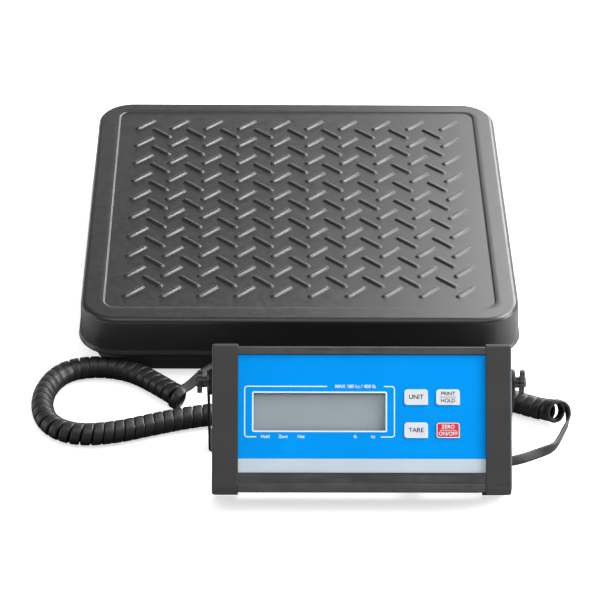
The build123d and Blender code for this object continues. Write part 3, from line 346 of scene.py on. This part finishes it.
FINISHES = {
    "tray_paint": powder_coat("tray_paint", (0.012, 0.012, 0.013), 0.34, 0.0005, 0.08),
    "base_paint": powder_coat("base_paint", (0.105, 0.105, 0.108), 0.42),
    "frame_paint": powder_coat("frame_paint", (0.035, 0.036, 0.040), 0.45),
    "bracket_paint": powder_coat("bracket_paint", (0.014, 0.014, 0.015), 0.38, 0.0004),
    "foot_rubber": rubber("foot_rubber", (0.013, 0.013, 0.014)),
    "cushion_rubber": rubber("cushion_rubber", (0.018, 0.018, 0.018)),
    "washer_rubber": rubber("washer_rubber", (0.010, 0.010, 0.011)),
    "boot_rubber": rubber("boot_rubber", (0.016, 0.016, 0.018)),
    "zinc_screw": metal("zinc_screw", (0.62, 0.63, 0.65), 0.3),
    "plain_steel": metal("plain_steel", (0.42, 0.42, 0.43), 0.38),
    "black_screw": metal("black_screw", (0.045, 0.045, 0.048), 0.42),
    "cell_aluminium": metal("cell_aluminium", (0.72, 0.73, 0.75), 0.28, (1, 12, 12), 260),
    "potting": rubber("potting", (0.55, 0.55, 0.52)),
    "brass": metal("brass", (0.72, 0.49, 0.18), 0.26),
    "circuit_board": circuit_board(),
    "terminal_plastic": moulded("terminal_plastic", (0.02, 0.17, 0.07), 0.4),
    "grey_cable": moulded("grey_cable", (0.16, 0.16, 0.17), 0.45, 900, 0.00002, 0.0002),
    "housing_anodised": metal("housing_anodised", (0.12, 0.12, 0.125), 0.38, (0.05, 1, 1), 900),
    "cap_plastic": moulded("cap_plastic", (0.028, 0.028, 0.029), 0.46, 1500, 0.00003, 0.0005),
    "panel_plastic": moulded("panel_plastic", (0.016, 0.016, 0.018), 0.5),
    "label_blue": printed("label_blue", (0.0, 0.275, 0.80), 0.5),
    "strip_silver": printed("strip_silver", (0.50, 0.59, 0.645), 0.34),
    "window_clear": window_film(),
    "lcd_grey": lcd_glass(),
    "switch_plastic": moulded("switch_plastic", (0.03, 0.03, 0.035), 0.4),
    "key_grey": moulded("key_grey", (0.64, 0.68, 0.74), 0.42, 2200, 0.000008, 0.0004),
    "key_red": moulded("key_red", (0.60, 0.017, 0.024), 0.38, 2200, 0.000008, 0.0004),
    "battery_wrap": printed("battery_wrap", (0.025, 0.10, 0.24), 0.25),
    "port_metal": metal("port_metal", (0.55, 0.55, 0.56), 0.32),
    "jack_plastic": moulded("jack_plastic", (0.012, 0.012, 0.013), 0.4),
    "knob_plastic": moulded("knob_plastic", (0.020, 0.020, 0.021), 0.34, 1300, 0.00002, 0.0005),
    "cord_pvc": moulded("cord_pvc", (0.015, 0.015, 0.016), 0.43, 1100, 0.000006, 0.0002),
}
INK_WHITE = printed("ink_white", (0.74, 0.84, 0.94))
INK_DARK = printed("ink_dark", (0.012, 0.014, 0.022))
# painted shadow: the dark colour of a strip laid along the top of the LCD glass, where the window's top edge
# would shade it
PAINTED_LCD_SHADOW = printed("painted_lcd_shadow", (0.10, 0.13, 0.15), 0.5)


def dress_nodes():
    """Every CAD node gets the material of its slot in the record."""
    for node in nodes.values():
        for slot in node.material_slots:
            slot.material = FINISHES[slot.material.name.split(".")[0]]


dress_nodes()


# ---------------------------------------------------------------- cords
CORD_WIDTH = 7.0             # the cord is flat
CORD_SHEET = 2.3
COIL_RADIUS = 6.9            # to the middle of the cord
COIL_PITCH = 7.2             # leaves a gap between the turns
COIL_Z = 8.2
LEAD_Z = 3.7
COIL_ROUTE = [(-86.5, -115.5, 10.3), (-105.5, -93, 8.4), (-126, -77.5, COIL_Z), (-150, -73, COIL_Z),
              (-172, -79.5, COIL_Z), (-184, -100.5, COIL_Z), (-186, -125.5, COIL_Z),
              (-178, -147, COIL_Z), (-158.5, -158, COIL_Z), (-132, -155, COIL_Z),
              (-104, -144.5, COIL_Z), (-72, -134, COIL_Z), (-25, -126.5, COIL_Z), (25, -120, COIL_Z),
              (75, -112, COIL_Z), (122, -107.5, COIL_Z), (149, -113, COIL_Z), (163, -120.5, COIL_Z),
              (172, -125, 8.4), (178.5, -128, 9.4), (182, -132, 11.4), (184, -136, 13.6)]
PLATFORM_ROUTE = [(-50, -74.6, 13.6), (-57.5, -74.6, 13.6), (-64, -80, 13.2), (-70.5, -88.5, 12.8),
                  (-76, -98.5, 13.2), (-80.0, -109.5, 16.0), (-84.5, -117.5, 18.4)]
DISPLAY_ROUTE = [(190.9, -133.0, 13.6), (191.3, -134.4, 9.8), (190.6, -138.5, 6.6), (187.5, -145, 5.5),
                 (183.8, -154.5, 5.1), (179, -165, 4.6), (168, -170.5, LEAD_Z),
                 (150, -180.5, LEAD_Z), (132, -182.5, LEAD_Z), (114, -173.5, LEAD_Z), (99, -171.5, LEAD_Z),
                 (89.5, -175.6, 4.1), (85.4, -182.97, 7.19), (85.4, -188.96, 11.87)]
TURN_STEPS = 22              # cross-sections to a turn of the coil
LAST_PART = 0.25             # the coil ends this part of a turn past a whole number of them
AXIS_STEP = 0.4
LEAD_STEP = 1.2
LEAN_SHARE = 0.9             # how far the end turns lean over from the coil's direction
START_LEAN = Vector((-0.85, 0.485, 0.19))
START_STRETCH = 11.0         # the first turns lean over along this much of the coil
START_TURNS = 1.1            # this many turns at the start are loose
START_SPREAD = 1.7           # by which they are wider
START_GAP = 1.1              # and stand off the next
END_LEAN = Vector((0.36, -0.85, 0.32))
END_STRETCH = 34.0
END_TURNS = 1.6
END_SPREAD = 0.8
SHEAR = 0.45                 # the cord's width keeps this much to the coil's own direction
TO_VIEWER = Vector((0, -0.75, 0.66))
ON_EDGE = Vector((0.92, -0.4, 0))
SETTLE_TURN = 0.2            # the lead's broad face turns into the coil's within this much of a turn
SETTLE_START = 0.3           # and has this share of it already where they meet


def route_line(route):
    """Points along the NURBS line of a route, in metres."""
    curve = bpy.data.curves.new("route", "CURVE")
    curve.dimensions = "3D"
    curve.resolution_u = 24
    spline = curve.splines.new("NURBS")
    spline.points.add(len(route) - 1)
    for point, place in zip(spline.points, route):
        point.co = (*[value * MM for value in place], 1)
    spline.order_u = 3
    spline.use_endpoint_u = True
    holder = add_object("route", curve)
    bpy.context.view_layer.update()
    mesh = bpy.data.meshes.new_from_object(holder)
    line = [vertex.co.copy() for vertex in mesh.vertices]
    bpy.data.objects.remove(holder)
    return line


def evenly(line, step):
    """The line again, in equal steps of about this many millimetres."""
    reach = [0.0]
    for before, after in zip(line, line[1:]):
        reach.append(reach[-1] + (after - before).length)
    count = ceil(reach[-1] / (step * MM))
    even = []
    index = 0
    for number in range(count + 1):
        at = reach[-1] * number / count
        while index < len(line) - 2 and reach[index + 1] < at:
            index += 1
        span = max(reach[index + 1] - reach[index], 1e-9)
        even.append(line[index].lerp(line[index + 1], (at - reach[index]) / span))
    return even


def directions(line):
    """The unit direction of the line at each of its points."""
    last = len(line) - 1
    return [(line[min(i + 1, last)] - line[max(i - 1, 0)]).normalized() for i in range(last + 1)]


def curly_helix():
    """Middle line of the coiled stretch, and the way its broad outer face looks."""
    axis = evenly(route_line(COIL_ROUTE), AXIS_STEP)
    along = directions(axis)
    step = (axis[1] - axis[0]).length
    turns = step * (len(axis) - 1) / (COIL_PITCH * MM)
    count = round((round(turns - LAST_PART) + LAST_PART) * TURN_STEPS)
    line = []
    looks = []
    for number in range(count + 1):
        at = (len(axis) - 1) * number / count
        index = min(int(at), len(axis) - 2)
        place = axis[index].lerp(axis[index + 1], at - index)
        ring = along[index].copy()
        left = (len(axis) - 1 - at) * step / (END_STRETCH * MM)
        ring = ring.lerp(END_LEAN, smooth_step(1 - left) * LEAN_SHARE).normalized()
        passed = at * step / (START_STRETCH * MM)
        ring = ring.lerp(START_LEAN, smooth_step(1 - passed) * LEAN_SHARE).normalized()
        side = UP.cross(ring).normalized()
        turn = 2 * pi * number / TURN_STEPS
        spoke = ring.cross(side) * cos(turn) + side * sin(turn)
        loose = smooth_step(START_TURNS - number / TURN_STEPS)
        opened = smooth_step((number - count) / TURN_STEPS / END_TURNS + 1)
        place = place - along[index] * START_GAP * loose * MM
        line.append(place + spoke * (COIL_RADIUS + START_SPREAD * loose + END_SPREAD * opened) * MM)
        ahead = side * cos(turn) - ring.cross(side) * sin(turn)
        look = ahead.cross(ring.lerp(along[index], SHEAR))
        looks.append((look if look.dot(spoke) > 0 else -look).normalized())
    return line, looks


def blend_looks(line, stops):
    """Directions of the broad face along a lead, from (share of its length, direction) pairs."""
    looks = []
    for number in range(len(line)):
        share = number / (len(line) - 1)
        for (low, first), (high, second) in zip(stops, stops[1:]):
            if low <= share <= high:
                looks.append(first.lerp(second, smooth_step((share - low) / (high - low))).normalized())
                break
    return looks


def eased(line, shift, share_of):
    """The line moved by the part of a shift that share_of gives for the share of the way along it."""
    return [place + shift * smooth_step(share_of(number / (len(line) - 1)))
            for number, place in enumerate(line)]


def ribbon(name, line, looks):
    """Flat cord with rounded edges along a line."""
    outline = stadium(CORD_WIDTH, CORD_SHEET, 6)
    points = []
    faces = []
    for place, ahead, look in zip(line, directions(line), looks):
        across = ahead.cross(look).normalized()
        out = across.cross(ahead).normalized()
        points += [place + (across * a + out * b) * MM for a, b in outline]
    count = len(outline)
    for number in range(len(line) - 1):
        bridge(faces, number * count, (number + 1) * count, count)
    faces.append(tuple(range(count))[::-1])
    faces.append(tuple(range(len(points) - count, len(points))))
    return mesh_object(name, points, faces)


def add_cord(name, line, looks, replaced):
    """One piece of the flat cord, in place of the CAD parts that it hides."""
    cord = ribbon(name, line, looks)
    cord.data.materials.append(FINISHES["cord_pvc"])
    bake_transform(cord)
    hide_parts(*replaced)


def make_cords():
    """The lead from the platform with the whole coil, and the lead to the display."""
    helix, looks = curly_helix()
    lead = evenly(route_line(PLATFORM_ROUTE), LEAD_STEP)
    lead = eased(lead, helix[0] - lead[-1], lambda share: share)
    meeting = TO_VIEWER.lerp(looks[0], SETTLE_START)
    lead_looks = blend_looks(lead, [(0, TO_VIEWER), (0.8, TO_VIEWER), (1, meeting)])
    settle = round(TURN_STEPS * SETTLE_TURN)
    for number in range(settle):
        share = SETTLE_START + (1 - SETTLE_START) * smooth_step(number / settle)
        looks[number] = TO_VIEWER.lerp(looks[number], share).normalized()
    add_cord("curly_cord", lead[:-1] + helix, lead_looks[:-1] + looks,
             ("curly_coil", "platform_lead"))
    tail = evenly(route_line(DISPLAY_ROUTE), LEAD_STEP)
    tail = eased(tail, helix[-1] - tail[0], lambda share: 1 - share)
    tail_looks = blend_looks(tail, [(0, looks[-1]), (0.1, ON_EDGE), (0.22, ON_EDGE),
                                    (0.38, TO_VIEWER), (1, TO_VIEWER)])
    add_cord("display_cord", tail, tail_looks,
             ("display_lead",))


make_cords()


# ---------------------------------------------------------------- tray
PLATFORM_Y = 83.4
TRAY_TOP = 52.0
TRAY_FOOT = 21.6
TRAY_HALF = 160.0            # half of the top, before its edge is rolled
LIP_HALF = 162.5
TRAY_EDGE = 4.0
TRAY_CORNER = 27.5
TRAY_SHEET = 1.5
RIM_IN = 3.6                 # the rim starts rolling down this far inside the top's half side
RIM_HOLD = 0.4               # a flat strip before it, so that the roll shows as an edge
LIP_FLARE = 1.3              # the skirt's foot turns out by this much
LIP_HIGH = 4.6               # above the foot, where the flare starts
LIP_LOW = 1.2                # and where it ends
LIP_CURVE = 1.5              # above 1, most of it comes low down
FIELD_HALF = 143.3
FIELD_DEPTH = 0.7
FIELD_STEP = 0.6             # half the width of the step down into the field
FIELD_FLAT = (6, 1.0)        # the field's own surface ends in two rings this far inside the step
FIELD_RIM = 4                # and the rim's flat top starts this far outside it
FIELD_CORNER = 9.0
TREAD_PITCH = 27.2
TREAD_COUNT = 10
TREAD_LENGTH = 21.4
TREAD_WIDTH = 5.0
TREAD_RISE = 1.25
TREAD_RINGS = 8
TREAD_ENDS = 0.98            # the ends slope this much as far in as the sides
TREAD_CREST = 1.15           # above 1, the crest starts before the middle of the bar
TREAD_SHOULDER = 0.85        # below 1, the sides stand steeper
TREAD_SUNK = 0.01            # into the field, so that the two never coincide
SKIRT_LEAN = radians(3.0)
BACK_TRIM = 0.008            # the rim is a little narrower behind the field than in front
BACK_SHIFT = 1.3


def tray_profile():
    """(half side, height) from the middle of the pressed field over the rim to the lip and back inside."""
    field_z = TRAY_TOP - FIELD_DEPTH
    profile = [(FIELD_HALF - inside, field_z) for inside in FIELD_FLAT]
    for step in range(9):
        share = step / 8
        profile.append((FIELD_HALF - FIELD_STEP + 2 * FIELD_STEP * share,
                        field_z + FIELD_DEPTH * smooth_step(share)))
    profile.append((FIELD_HALF + FIELD_RIM, TRAY_TOP))
    centre = TRAY_HALF - RIM_IN
    profile.append((centre - RIM_HOLD, TRAY_TOP))
    for step in range(9):
        turn = radians(90) - (radians(90) - SKIRT_LEAN) * step / 8
        profile.append((centre + TRAY_EDGE * cos(turn), TRAY_TOP - TRAY_EDGE + TRAY_EDGE * sin(turn)))
    for step in range(7):
        share = step / 6
        profile.append((LIP_HALF - LIP_FLARE * (1 - smooth_step(share) ** LIP_CURVE),
                        TRAY_FOOT + LIP_HIGH + (LIP_LOW - LIP_HIGH) * share))
    radius = TRAY_SHEET / 2
    for step in range(9):
        turn = -pi * step / 8
        profile.append((LIP_HALF - radius + radius * cos(turn), TRAY_FOOT + radius + radius * sin(turn)))
    profile.append((centre + TRAY_EDGE - TRAY_SHEET, TRAY_TOP - TRAY_EDGE))
    profile.append((centre, TRAY_TOP - TRAY_SHEET))
    profile.append((FIELD_HALF, TRAY_TOP - FIELD_DEPTH - TRAY_SHEET))
    return profile


def tread(points, faces, x, y, turn):
    """One pressed bar, rising smoothly from the field to a rounded crest."""
    base_z = TRAY_TOP - FIELD_DEPTH - TREAD_SUNK
    start = len(points)
    count = 0
    for ring in range(TREAD_RINGS):
        share = ring / TREAD_RINGS
        inset = share * TREAD_WIDTH
        outline = stadium(TREAD_LENGTH - inset * TREAD_ENDS, TREAD_WIDTH - inset, 6)
        count = len(outline)
        z = base_z + TREAD_RISE * sin(pi / 2 * smooth_step(share * TREAD_CREST) ** TREAD_SHOULDER)
        for a, b in outline:
            points.append(Vector((x + a * cos(turn) - b * sin(turn),
                                  PLATFORM_Y + y + a * sin(turn) + b * cos(turn), z)) * MM)
    for ring in range(TREAD_RINGS - 1):
        bridge(faces, start + ring * count, start + (ring + 1) * count, count)
    faces.append(tuple(start + (TREAD_RINGS - 1) * count + step for step in range(count)))


def make_tray():
    """The tray as one sheet: the rolled profile taken round, closed inside, with the treads on it."""
    points = []
    faces = []
    corner_steps = 14
    count = 4 * (corner_steps + 1)
    profile = tray_profile()
    for half, z in profile:
        share = max((half - FIELD_HALF) / (TRAY_HALF - FIELD_HALF), 0)
        radius = FIELD_CORNER + (TRAY_CORNER - FIELD_CORNER) * share
        for x, y in rounded_square(half, half, radius, corner_steps):
            points.append(Vector((x, PLATFORM_Y + y * (1 - BACK_TRIM * share) - BACK_SHIFT * share, z)) * MM)
    for ring in range(len(profile) - 1):
        bridge(faces, (ring + 1) * count, ring * count, count)
    faces.append(tuple(range(count)))
    faces.append(tuple(range(len(points) - count, len(points)))[::-1])
    for rows, turn in ((TREAD_COUNT, radians(45)), (TREAD_COUNT - 1, radians(-45))):
        for row in range(rows):
            for column in range(rows):
                tread(points, faces, (column - (rows - 1) / 2) * TREAD_PITCH,
                      (row - (rows - 1) / 2) * TREAD_PITCH, turn)
    tray = mesh_object("pressed_tray", points, faces)
    tray.data.materials.append(FINISHES["tray_paint"])
    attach(tray, "tray")
    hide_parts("tray")


make_tray()


# ---------------------------------------------------------------- printed face, and a painted shadow on the LCD
def outline_frame(name, centre, size, radius, width, w, ink_or_painted_shadow, body, gaps=(), last_radius=None):
    """A printed rounded frame line on the face, left out where a gap's span falls on its top or bottom."""
    half_u, half_v = size[0] / 2, size[1] / 2
    outer = rounded_square(half_u, half_v, radius, 8, last_radius)
    inner = rounded_square(half_u - width, half_v - width, max(radius - width, 0.1), 8, last_radius)
    points = []
    faces = []
    rings = list(zip(outer, inner))
    pieces = []
    for number, (start, end) in enumerate(zip(rings, rings[1:] + rings[:1])):
        spans = [(0.0, 1.0)]
        run = end[0][0] - start[0][0]
        level = 1 if start[0][1] > 0 else -1
        if abs(run) > 2 * radius:
            for side, low, high in gaps:
                if side == level:
                    cut = sorted((edge - centre[0] - start[0][0]) / run for edge in (low, high))
                    spans = [(spans[0][0], cut[0]), (cut[1], spans[-1][1])]
        pieces += [(start, end, low, high) for low, high in spans]
    for start, end, low, high in pieces:
        first = len(points)
        for share in (low, high):
            for edge in (0, 1):
                u = start[edge][0] + (end[edge][0] - start[edge][0]) * share
                v = start[edge][1] + (end[edge][1] - start[edge][1]) * share
                points.append(face(centre[0] + u, centre[1] + v, w + PRINT))
        faces.append((first, first + 2, first + 3, first + 1))
    line = mesh_object(name, points, faces, smooth=False)
    line.data.materials.append(ink_or_painted_shadow)
    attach(line, body)
    return line


CAP_SHARE = 0.7              # a capital's height as a share of the letters' size
BOLDER = 0.018               # strokes widened by this share of the height
WORDS_OUT = 1.6              # words stand this many times as proud as the frame lines


def words(name, lines, w, ink_or_painted_shadow, body):
    """Printed words on the face as one thin mesh: (text, u, v, height) each, centred on u, v."""
    printed_mesh = bmesh.new()
    for text, u, v, height in lines:
        letters = bpy.data.curves.new("letters", "FONT")
        letters.body = text
        letters.align_x = "CENTER"
        letters.align_y = "CENTER"
        letters.size = height / CAP_SHARE * MM
        letters.resolution_u = 4
        letters.offset = height * BOLDER * MM
        holder = add_object("letters", letters)
        bpy.context.view_layer.update()
        mesh = bpy.data.meshes.new_from_object(holder)
        place = Matrix((Vector((1, 0, 0)), FACE_UP, FACE_OUT)).transposed().to_4x4()
        place.translation = face(u, v, w + PRINT * WORDS_OUT)
        mesh.transform(place)
        printed_mesh.from_mesh(mesh)
        bpy.data.objects.remove(holder)
    mesh = bpy.data.meshes.new(name)
    printed_mesh.to_mesh(mesh)
    printed_mesh.free()
    piece = add_object(name, mesh)
    piece.data.materials.append(ink_or_painted_shadow)
    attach(piece, body)
    return piece


def patch(name, low, high, w, ink_or_painted_shadow, body, radius=0.4):
    """A solid patch between two corners of the face: print on the keys, a painted shadow on the LCD."""
    middle = ((low[0] + high[0]) / 2, (low[1] + high[1]) / 2)
    outline = rounded_square((high[0] - low[0]) / 2, (high[1] - low[1]) / 2, radius, 5)
    points = [face(middle[0] + u, middle[1] + v, w + PRINT) for u, v in outline]
    piece = mesh_object(name, points, [tuple(range(len(points)))], smooth=False)
    piece.data.materials.append(ink_or_painted_shadow)
    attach(piece, body)
    return piece


WINDOW_CENTRE = (-28.85, 56.3)
WINDOW_BORDER = (91.7, 27.5)
FRAME_CENTRE = (-28.85, 56.4)
FRAME_SIZE = (102.5, 35.0)
FRAME_GAPS = ((1, -23.8, 14.9), (-1, -71.9, 12.9))
INDICATORS = (("Hold", -65.7), ("Zero", -53.5), ("Net", -41.4), ("lb", -4.5), ("kg", 7.6))
INDICATOR_V = 39.4
RANGE_PLACE = (-4.5, 73.5)
LCD_W = 34.0                 # the glass; a painted shadow along its top stands for the shade of the window's top edge


def make_face_print_and_lcd_shadow():
    outline_frame("window_border", WINDOW_CENTRE, WINDOW_BORDER, 1.2, 0.95, LABEL_W, INK_WHITE, "head")
    outline_frame("display_frame", FRAME_CENTRE, FRAME_SIZE, 2.2, 0.7, LABEL_W, INK_WHITE, "head",
                  gaps=FRAME_GAPS)
    words("indicator_words", [(word, u, INDICATOR_V, 2.1) for word, u in INDICATORS],
          LABEL_W, INK_WHITE, "head")
    words("range_words", [("MAX 180 kg / 400 lb", *RANGE_PLACE, 2.3)], LABEL_W, INK_WHITE, "head")
    # painted shadow, not print: a dark strip along the top of the LCD, where the window's top edge would
    # shade the glass
    patch("lcd_painted_shadow_top", (-73.4, 67.6), (15.7, 69.0), LCD_W, PAINTED_LCD_SHADOW, "head", 0.2)


KEYS = (("unit", 36.8, 66.4, ("UNIT",), INK_DARK),
        ("hold", 58.5, 66.4, ("PRINT", "HOLD"), INK_DARK),
        ("tare", 36.8, 43.9, ("TARE",), INK_DARK),
        ("zero", 58.5, 43.9, ("ZERO", "ON/OFF"), INK_WHITE))
KEY_BORDER = (15.7, 10.3)
UPPER_WORD = 2.3             # above the key's middle
LOWER_WORD = -2.4
RULE = (5.6, 0.15)           # half of the line between two words


def make_key_print():
    for name, u, v, lines, ink_or_painted_shadow in KEYS:
        body = name + "_key"
        outline_frame(body + "_border", (u, v), KEY_BORDER, 1.9, 0.55, KEY_W, INK_WHITE, body,
                      last_radius=0.3)
        if len(lines) == 1:
            words(body + "_words", [(lines[0], u, v, 3.0)], KEY_W, ink_or_painted_shadow, body)
        else:
            words(body + "_words", [(lines[0], u, v + UPPER_WORD, 2.5), (lines[1], u, v + LOWER_WORD, 2.5)],
                  KEY_W, ink_or_painted_shadow, body)
            patch(body + "_rule", (u - RULE[0], v - RULE[1]), (u + RULE[0], v + RULE[1]),
                  KEY_W, ink_or_painted_shadow, body, 0.05)


make_face_print_and_lcd_shadow()
make_key_print()


# ---------------------------------------------------------------- moulded details
RIB_SPREAD = 1.3             # ribs reach this much further along the cord than out from it


def ribs(name, start, end, count, radius, thickness, body):
    """Rounded rubber ribs round a strain relief, evenly spaced from start to end in millimetres."""
    ahead = (end - start).normalized()
    side = ahead.cross(UP).normalized()
    above = side.cross(ahead)
    points = []
    faces = []
    around, across = 32, 8
    for rib in range(count):
        centre = start.lerp(end, rib / (count - 1))
        first = len(points)
        for step in range(around):
            turn = 2 * pi * step / around
            spoke = side * cos(turn) + above * sin(turn)
            for part in range(across):
                roll = 2 * pi * part / across
                points.append((centre + spoke * (radius + thickness * cos(roll))
                               + ahead * thickness * RIB_SPREAD * sin(roll)) * MM)
        for step in range(around):
            bridge(faces, first + step * across, first + (step + 1) % around * across, across)
    piece = mesh_object(name, points, faces)
    piece.data.materials.append(FINISHES["boot_rubber"])
    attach(piece, body)


def make_boot_ribs():
    """Ribs of the cord's two boots, behind the display and along the platform's front."""
    entry = face(45.0, 26.0, 0.0) / MM
    ribs("display_boot_ribs", entry - FACE_OUT * 5.0, entry - FACE_OUT * 12.6, 4, 4.35, 0.5, "head")
    ribs("platform_boot_ribs", Vector((-38.0, -74.6, 13.6)), Vector((-48.6, -74.6, 13.6)), 5, 4.3, 0.5,
         "root")


make_boot_ribs()


# ---------------------------------------------------------------- floor and light
def math_node(tree, operation, first, second):
    """A Math node's result; second is an output or a number."""
    node = tree.nodes.new("ShaderNodeMath")
    node.operation = operation
    tree.links.new(first, node.inputs[0])
    if isinstance(second, float):
        node.inputs[1].default_value = second
    else:
        tree.links.new(second, node.inputs[1])
    return node.outputs[0]


FLOOR_HALF = 6
FLOOR_GLOW = 0.62            # brings it to white before the camera
DIM_RIGHT = 0.165            # the floor is dim to everything but the camera out to here
DIM_LEFT = 0.20
DIM_FRONT = 0.25


def make_floor():
    """Pale floor: white to the camera, dim near the object in the paint's reflections."""
    corners = [(x * FLOOR_HALF, y * FLOOR_HALF, 0) for x, y in ((-1, -1), (1, -1), (1, 1), (-1, 1))]
    floor = mesh_object("floor", corners, [(0, 1, 2, 3)], smooth=False)
    ground = bpy.data.materials.new("floor")
    ground.use_nodes = True
    tree = ground.node_tree
    pale = tree.nodes["Principled BSDF"]
    pale.inputs["Base Color"].default_value = (0.97, 0.97, 0.97, 1)
    pale.inputs["Roughness"].default_value = 0.9
    dim = tree.nodes.new("ShaderNodeBsdfDiffuse")
    place = tree.nodes.new("ShaderNodeNewGeometry")
    parts = tree.nodes.new("ShaderNodeSeparateXYZ")
    left = math_node(tree, "MULTIPLY", parts.outputs["X"], -1.0)
    front = math_node(tree, "MULTIPLY", parts.outputs["Y"], -1.0)
    past_right = math_node(tree, "SUBTRACT", parts.outputs["X"], DIM_RIGHT)
    past_left = math_node(tree, "SUBTRACT", left, DIM_LEFT)
    past_front = math_node(tree, "SUBTRACT", front, DIM_FRONT)
    past_side = math_node(tree, "MAXIMUM", past_right, past_left)
    past = math_node(tree, "MAXIMUM", past_side, past_front)
    tree.links.new(place.outputs["Position"], parts.inputs["Vector"])
    shade = tree.nodes.new("ShaderNodeMapRange")
    shade.inputs["From Min"].default_value = -0.03
    shade.inputs["From Max"].default_value = 0.09
    shade.inputs["To Min"].default_value = 0.08
    shade.inputs["To Max"].default_value = 0.95
    tree.links.new(past, shade.inputs["Value"])
    tree.links.new(shade.outputs["Result"], dim.inputs["Color"])
    path = tree.nodes.new("ShaderNodeLightPath")
    glow = tree.nodes.new("ShaderNodeEmission")
    glow.inputs["Strength"].default_value = FLOOR_GLOW
    lift = tree.nodes.new("ShaderNodeAddShader")
    tree.links.new(pale.outputs[0], lift.inputs[0])
    tree.links.new(glow.outputs[0], lift.inputs[1])
    choose = tree.nodes.new("ShaderNodeMixShader")
    tree.links.new(path.outputs["Is Camera Ray"], choose.inputs[0])
    tree.links.new(dim.outputs[0], choose.inputs[1])
    tree.links.new(lift.outputs[0], choose.inputs[2])
    tree.links.new(choose.outputs[0], tree.nodes["Material Output"].inputs["Surface"])
    floor.data.materials.append(ground)


def make_world():
    world = bpy.data.worlds.new("studio")
    world.use_nodes = True
    SCENE.world = world
    tree = world.node_tree
    background = tree.nodes["Background"]
    background.inputs["Color"].default_value = (1, 1, 1, 1)
    path = tree.nodes.new("ShaderNodeLightPath")
    level = tree.nodes.new("ShaderNodeMapRange")
    level.inputs["To Min"].default_value = 0.22
    level.inputs["To Max"].default_value = 1.0
    tree.links.new(path.outputs["Is Camera Ray"], level.inputs["Value"])
    tree.links.new(level.outputs["Result"], background.inputs["Strength"])


def softbox(name, place, aim, size, power):
    """A rectangular light at a place, turned towards its aim."""
    light = bpy.data.lights.new(name, "AREA")
    light.shape = "RECTANGLE"
    light.size = size[0]
    light.size_y = size[1]
    light.energy = power
    lamp = add_object(name, light)
    lamp.visible_camera = False
    lamp.location = place
    lamp.rotation_euler = (Vector(aim) - Vector(place)).to_track_quat("-Z", "Y").to_euler()


# name, place, aim, size and power in watts
LIGHTS = (("key_light", (1.15, 2.3, 1.55), (0.1, 0.1, 0.05), (1.5, 1.2), 62),
          ("high_light", (1.4, 0.5, 1.75), (0.0, 0.08, 0.05), (1.0, 0.8), 62),
          ("low_back_light", (0.3, 3.2, 0.5), (0.0, 0.1, 0.05), (2.6, 0.4), 16),
          ("side_light", (2.2, -0.2, 0.8), (0.1, 0.05, 0.0), (1.0, 1.2), 52),
          ("left_light", (-2.2, -0.2, 0.6), (-0.1, 0.05, 0.0), (1.0, 0.8), 8),
          ("front_fill", (-0.2, -1.1, 2.6), (0.0, -0.2, 0.0), (2.8, 1.6), 28))

make_floor()
make_world()
for light in LIGHTS:
    softbox(*light)
SCENE.view_settings.view_transform = "Standard"
